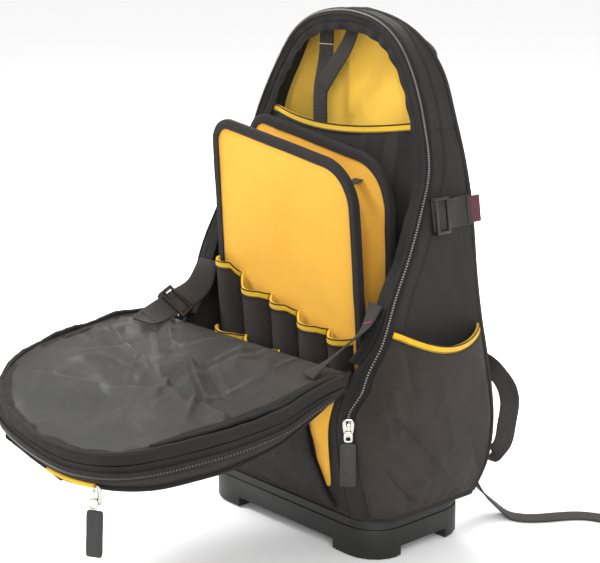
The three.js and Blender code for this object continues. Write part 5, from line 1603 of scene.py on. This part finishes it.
def shoulder_webbing(mirror, side, lock):
    top = lock + np.array([mirror * (LOWER_WEB / 2 + BAR_WIDTH + ROOM), 0, 0])
    corner_x = float(rim_at(share_at(WEB_CORNER))[0]) - LOWER_WEB
    w = 1 - corner_x / (corner_x + LOWER_WEB)
    on_back = float(back_at(WEB_CORNER) + back_bulge(w)) + WEB_THICK / 2 + GAP * 2
    bow = [(mirror * o * HALF_WIDTH, on_back + stand, h) for o, h, stand in BOW]
    loop = smooth_path([top, *bow, (mirror * corner_x, on_back, WEB_CORNER)], 110)
    t = np.linspace(0, 18, 111)[:, None]
    first = smoothstep(t, 1, 6)
    second = smoothstep(t, 12, 16)
    lay = mirror * UPRIGHT * (1 - first) + np.array(WEB_TURN) * [mirror, 1, 1] * first
    lay = lay * (1 - second) + np.array(WEB_END_TURN) * [mirror, 1, 1] * second
    strap(f"shoulder_web_{side}", loop, lay, LOWER_WEB, WEB_THICK, [f"shoulder_webbing_{side}"])


def shoulder(mirror, side, tail, steps):
    lock = shoulder_pad(mirror, side) + np.array([mirror * LOCK_ASIDE[0], LOCK_ASIDE[1], -LOCK_DROP])
    shoulder_webbing(mirror, side, lock)
    refined(f"shoulder_lock_{side}", PLASTIC, 0.7, 3)

    level = WEB_THICK / 2 + TAIL_ROOM
    route = [lock + [0, 0, BAR_SPREAD], lock + [0, 1, -2 * BAR_SPREAD]]
    route += [np.array([mirror * s * HALF_WIDTH, b * DEPTH, level + lift * BASE_HEIGHT]) for s, b, lift in tail]
    path = smooth_path(route, steps)
    lay = np.array([1.0, 0, 0])
    if mirror > 0:
        lying = 1 - smoothstep(path[:, 2:3], 2, 60)
        lay = lay * (1 - lying) + np.array(TAIL_TURN) * lying
    strap(f"shoulder_tail_{side}_web", path, lay, LOWER_WEB, WEB_THICK, [f"shoulder_tail_{side}"])


# ---- hard pieces

PLATE_THICK = 3
TONGUE_THICK = 1.6
GRIP_THICK = 3.4
LINK_SAG = 3


def turned_box(node, turn):
    """A node's size and middle, measured square to a turn about the vertical."""
    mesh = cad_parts[node].data
    points = np.empty(len(mesh.vertices) * 3)
    mesh.vertices.foreach_get("co", points)
    points = points.reshape(-1, 3) * 1000 - SHIFT
    c, s = math.cos(turn), math.sin(turn)
    local = np.stack([points[:, 0] * c + points[:, 1] * s, points[:, 1] * c - points[:, 0] * s, points[:, 2]], -1)
    least, most = local.min(0), local.max(0)
    x, y, z = (least + most) / 2
    return most - least, np.array([x * c - y * s, x * s + y * c, z])


def slab(name, outline, hole, thick, soft, centre, turn, tilt, material, nodes):
    """A small flat casting or moulding with soft edges: an outline, and a hole in it if there is one."""
    layers = [(-thick / 2, soft), (soft * 0.3 - thick / 2, soft * 0.3), (soft - thick / 2, 0)]
    layers += [(-depth, inset) for depth, inset in layers[::-1]]
    rings = [(outline - unit(outline - outline.mean(0)) * inset, depth) for depth, inset in layers]
    if hole is not None:
        rings += [(hole + unit(hole - hole.mean(0)) * inset, depth) for depth, inset in layers[::-1]]
    level = np.array([math.cos(turn), math.sin(turn), 0])
    x_axis = level * math.cos(tilt) - UPRIGHT * math.sin(tilt)
    y_axis = np.array([-math.sin(turn), math.cos(turn), 0])
    z_axis = level * math.sin(tilt) + UPRIGHT * math.cos(tilt)
    verts = np.vstack([centre + r[:, :1] * x_axis + d * y_axis + r[:, 1:] * z_axis for r, d in rings])
    n, count = len(outline), len(rings)
    faces = []
    for k in range(count if hole is not None else count - 1):
        l = (k + 1) % count
        faces += [[k * n + j, l * n + j, l * n + (j + 1) % n, k * n + (j + 1) % n] for j in range(n)]
    if hole is None:
        faces += [list(range(n)), [(count - 1) * n + j for j in range(n)][::-1]]
    piece = mesh_piece(name, verts, faces, material, nodes)
    outward(piece.data)
    return piece


def oval(width, height, square_x, square_z, narrow=0.0):
    """A rounded outline; smaller powers make its sides squarer."""
    a = np.linspace(0, 2 * math.pi, 57)[:-1]
    x = np.sign(np.cos(a)) * np.abs(np.cos(a)) ** square_x * width / 2
    z = np.sign(np.sin(a)) * np.abs(np.sin(a)) ** square_z * height / 2
    return np.stack([x * (1 - narrow * (0.5 - z / height)), z], -1)


def zip_slider(name, turn, hang, tilt):
    size, centre = turned_box(f"{name}_slider", turn)
    back = np.array([-math.sin(turn), math.cos(turn), 0])
    side = np.array([math.cos(turn), math.sin(turn), 0])
    plate = centre + back * (size[1] - PLATE_THICK) / 2
    slab(f"{name}_slider_body", oval(size[0], size[2], 0.75, 0.7, 0.28), None, PLATE_THICK, 1.1, plate, turn, 0,
         METAL, [f"{name}_slider"])
    front = plate - back * PLATE_THICK / 2
    arc = [front + [0, 0, size[2] * 0.36], front - back * 2.3 + [0, 0, size[2] * 0.24],
           front - back * 2.7 - [0, 0, size[2] * 0.08], front - [0, 0, size[2] * 0.28]]
    path = smooth_path(arc, 24)
    swept(f"{name}_slider_bridge", path, np.tile(side, (25, 1)), np.cross(heading(path), side),
          round_section(2.1, 0.8, 12), METAL)
    size, centre = turned_box(f"{name}_tongue", turn)
    shape = oval(size[0], size[2], 0.5, 0.55)
    hole = oval(size[0] * 0.5, size[2] * 0.34, 0.8, 0.8) - [0, size[2] * 0.16]
    slab(f"{name}_tongue_plate", shape, hole, TONGUE_THICK, 0.45, centre, hang, tilt, METAL,
         [f"{name}_tongue"])
    size, centre = turned_box(f"{name}_pull", turn)
    slab(f"{name}_pull_grip", oval(size[0], size[2], 0.16, 0.22), None, GRIP_THICK, 1.0, centre, hang, tilt, RUBBER,
         [f"{name}_pull"])
    slab(f"{name}_pull_face", oval(size[0] * 0.7, size[2] * 0.84, 0.2, 0.2), None, GRIP_THICK + 0.7, 0.5, centre,
         hang, tilt, RUBBER, [])


def hard_pieces():
    refined("base_tray", BASE, 1.2, 3, 28)
    zip_slider("main_zip", math.pi / 4, math.pi / 4, 0.0)
    zip_slider("flap_pocket", -math.pi / 10, 0.62, 0.05)
    for name in ("divider_link_left", "divider_link_right"):
        least, most = (np.array(corner) * 1000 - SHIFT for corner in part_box(name))
        ends = np.linspace(0, 1, 24)
        y = least[1] + (most[1] - least[1]) * ends
        z = most[2] - WEB_THICK / 2 - LINK_SAG * np.sin(math.pi * ends)
        path = np.stack([0 * ends + (least[0] + most[0]) / 2, y, z], -1)
        strap(f"{name}_web", path, (1, 0, 0), most[0] - least[0], WEB_THICK, [name])


body()
opening()
for k, row in enumerate(DIVIDERS):
    divider(*row, 201 + 20 * k)
for k, row in enumerate(POCKET_ROWS):
    pocket_row(*row, 241 + 20 * k)
back_inside()
level_straps()
side_pocket(1, "right")
side_pocket(-1, "left")
front_pocket()
flap()
compression(1, "right")
compression(-1, "left")
stays()
carry_handle()
shoulder(1, "right", RIGHT_TAIL, 300)
shoulder(-1, "left", LEFT_TAIL, 90)
hard_pieces()
sew()


# ---- floor, light and camera

FLOOR = 30
FLOOR_GREY = 0.93
# name, place from the aim in metres, size in metres, watts.
LAMPS = [
    ("key", (-1.5, -1.0, 2.0), 0.9, 78),
    ("fill", (1.9, -1.5, 1.1), 1.4, 46),
    ("back", (-1.2, 1.7, 1.5), 1.0, 62),
]
SENSOR = 36

def floor_and_light():
    bpy.ops.mesh.primitive_plane_add(size=FLOOR, location=(0, 0, 0))
    floor = bpy.context.object
    floor.name = "floor"
    made, _, shader = graph("pale floor")
    shader.inputs["Base Color"].default_value = (FLOOR_GREY, FLOOR_GREY, FLOOR_GREY, 1)
    shader.inputs["Roughness"].default_value = 0.9
    floor.data.materials.append(made)

    world = bpy.data.worlds.new("studio")
    world.use_nodes = True
    sky = world.node_tree.nodes["Background"]
    sky.inputs["Color"].default_value = (1, 1, 1, 1)
    sky.inputs["Strength"].default_value = 1.0
    bpy.context.scene.world = world

    aim = (TARGET + SHIFT) * 0.001
    for name, offset, size, power in LAMPS:
        data = bpy.data.lights.new(name, "AREA")
        data.size = size
        data.energy = power
        lamp = bpy.data.objects.new(name, data)
        bpy.context.scene.collection.objects.link(lamp)
        lamp.location = aim + np.array(offset)
        point_along(lamp, -np.array(offset))


def point_along(thing, direction):
    """Turns a lamp or the camera to look along a direction."""
    z = unit(-np.asarray(direction, float))
    x = unit(np.cross(UPRIGHT, z))
    y = np.cross(z, x)
    thing.rotation_euler = Matrix([[x[k], y[k], z[k]] for k in range(3)]).to_euler()


def camera():
    data = bpy.data.cameras.new("camera")
    data.sensor_fit = "HORIZONTAL"
    data.sensor_width = SENSOR
    data.lens = FOCAL * SENSOR / FRAME[0]
    data.clip_end = 50
    eye = bpy.data.objects.new("camera", data)
    bpy.context.scene.collection.objects.link(eye)
    eye.location = (EYE + SHIFT) * 0.001
    point_along(eye, -TOWARDS)
    bpy.context.scene.camera = eye


floor_and_light()
camera()
bpy.context.scene.view_settings.view_transform = "Standard"
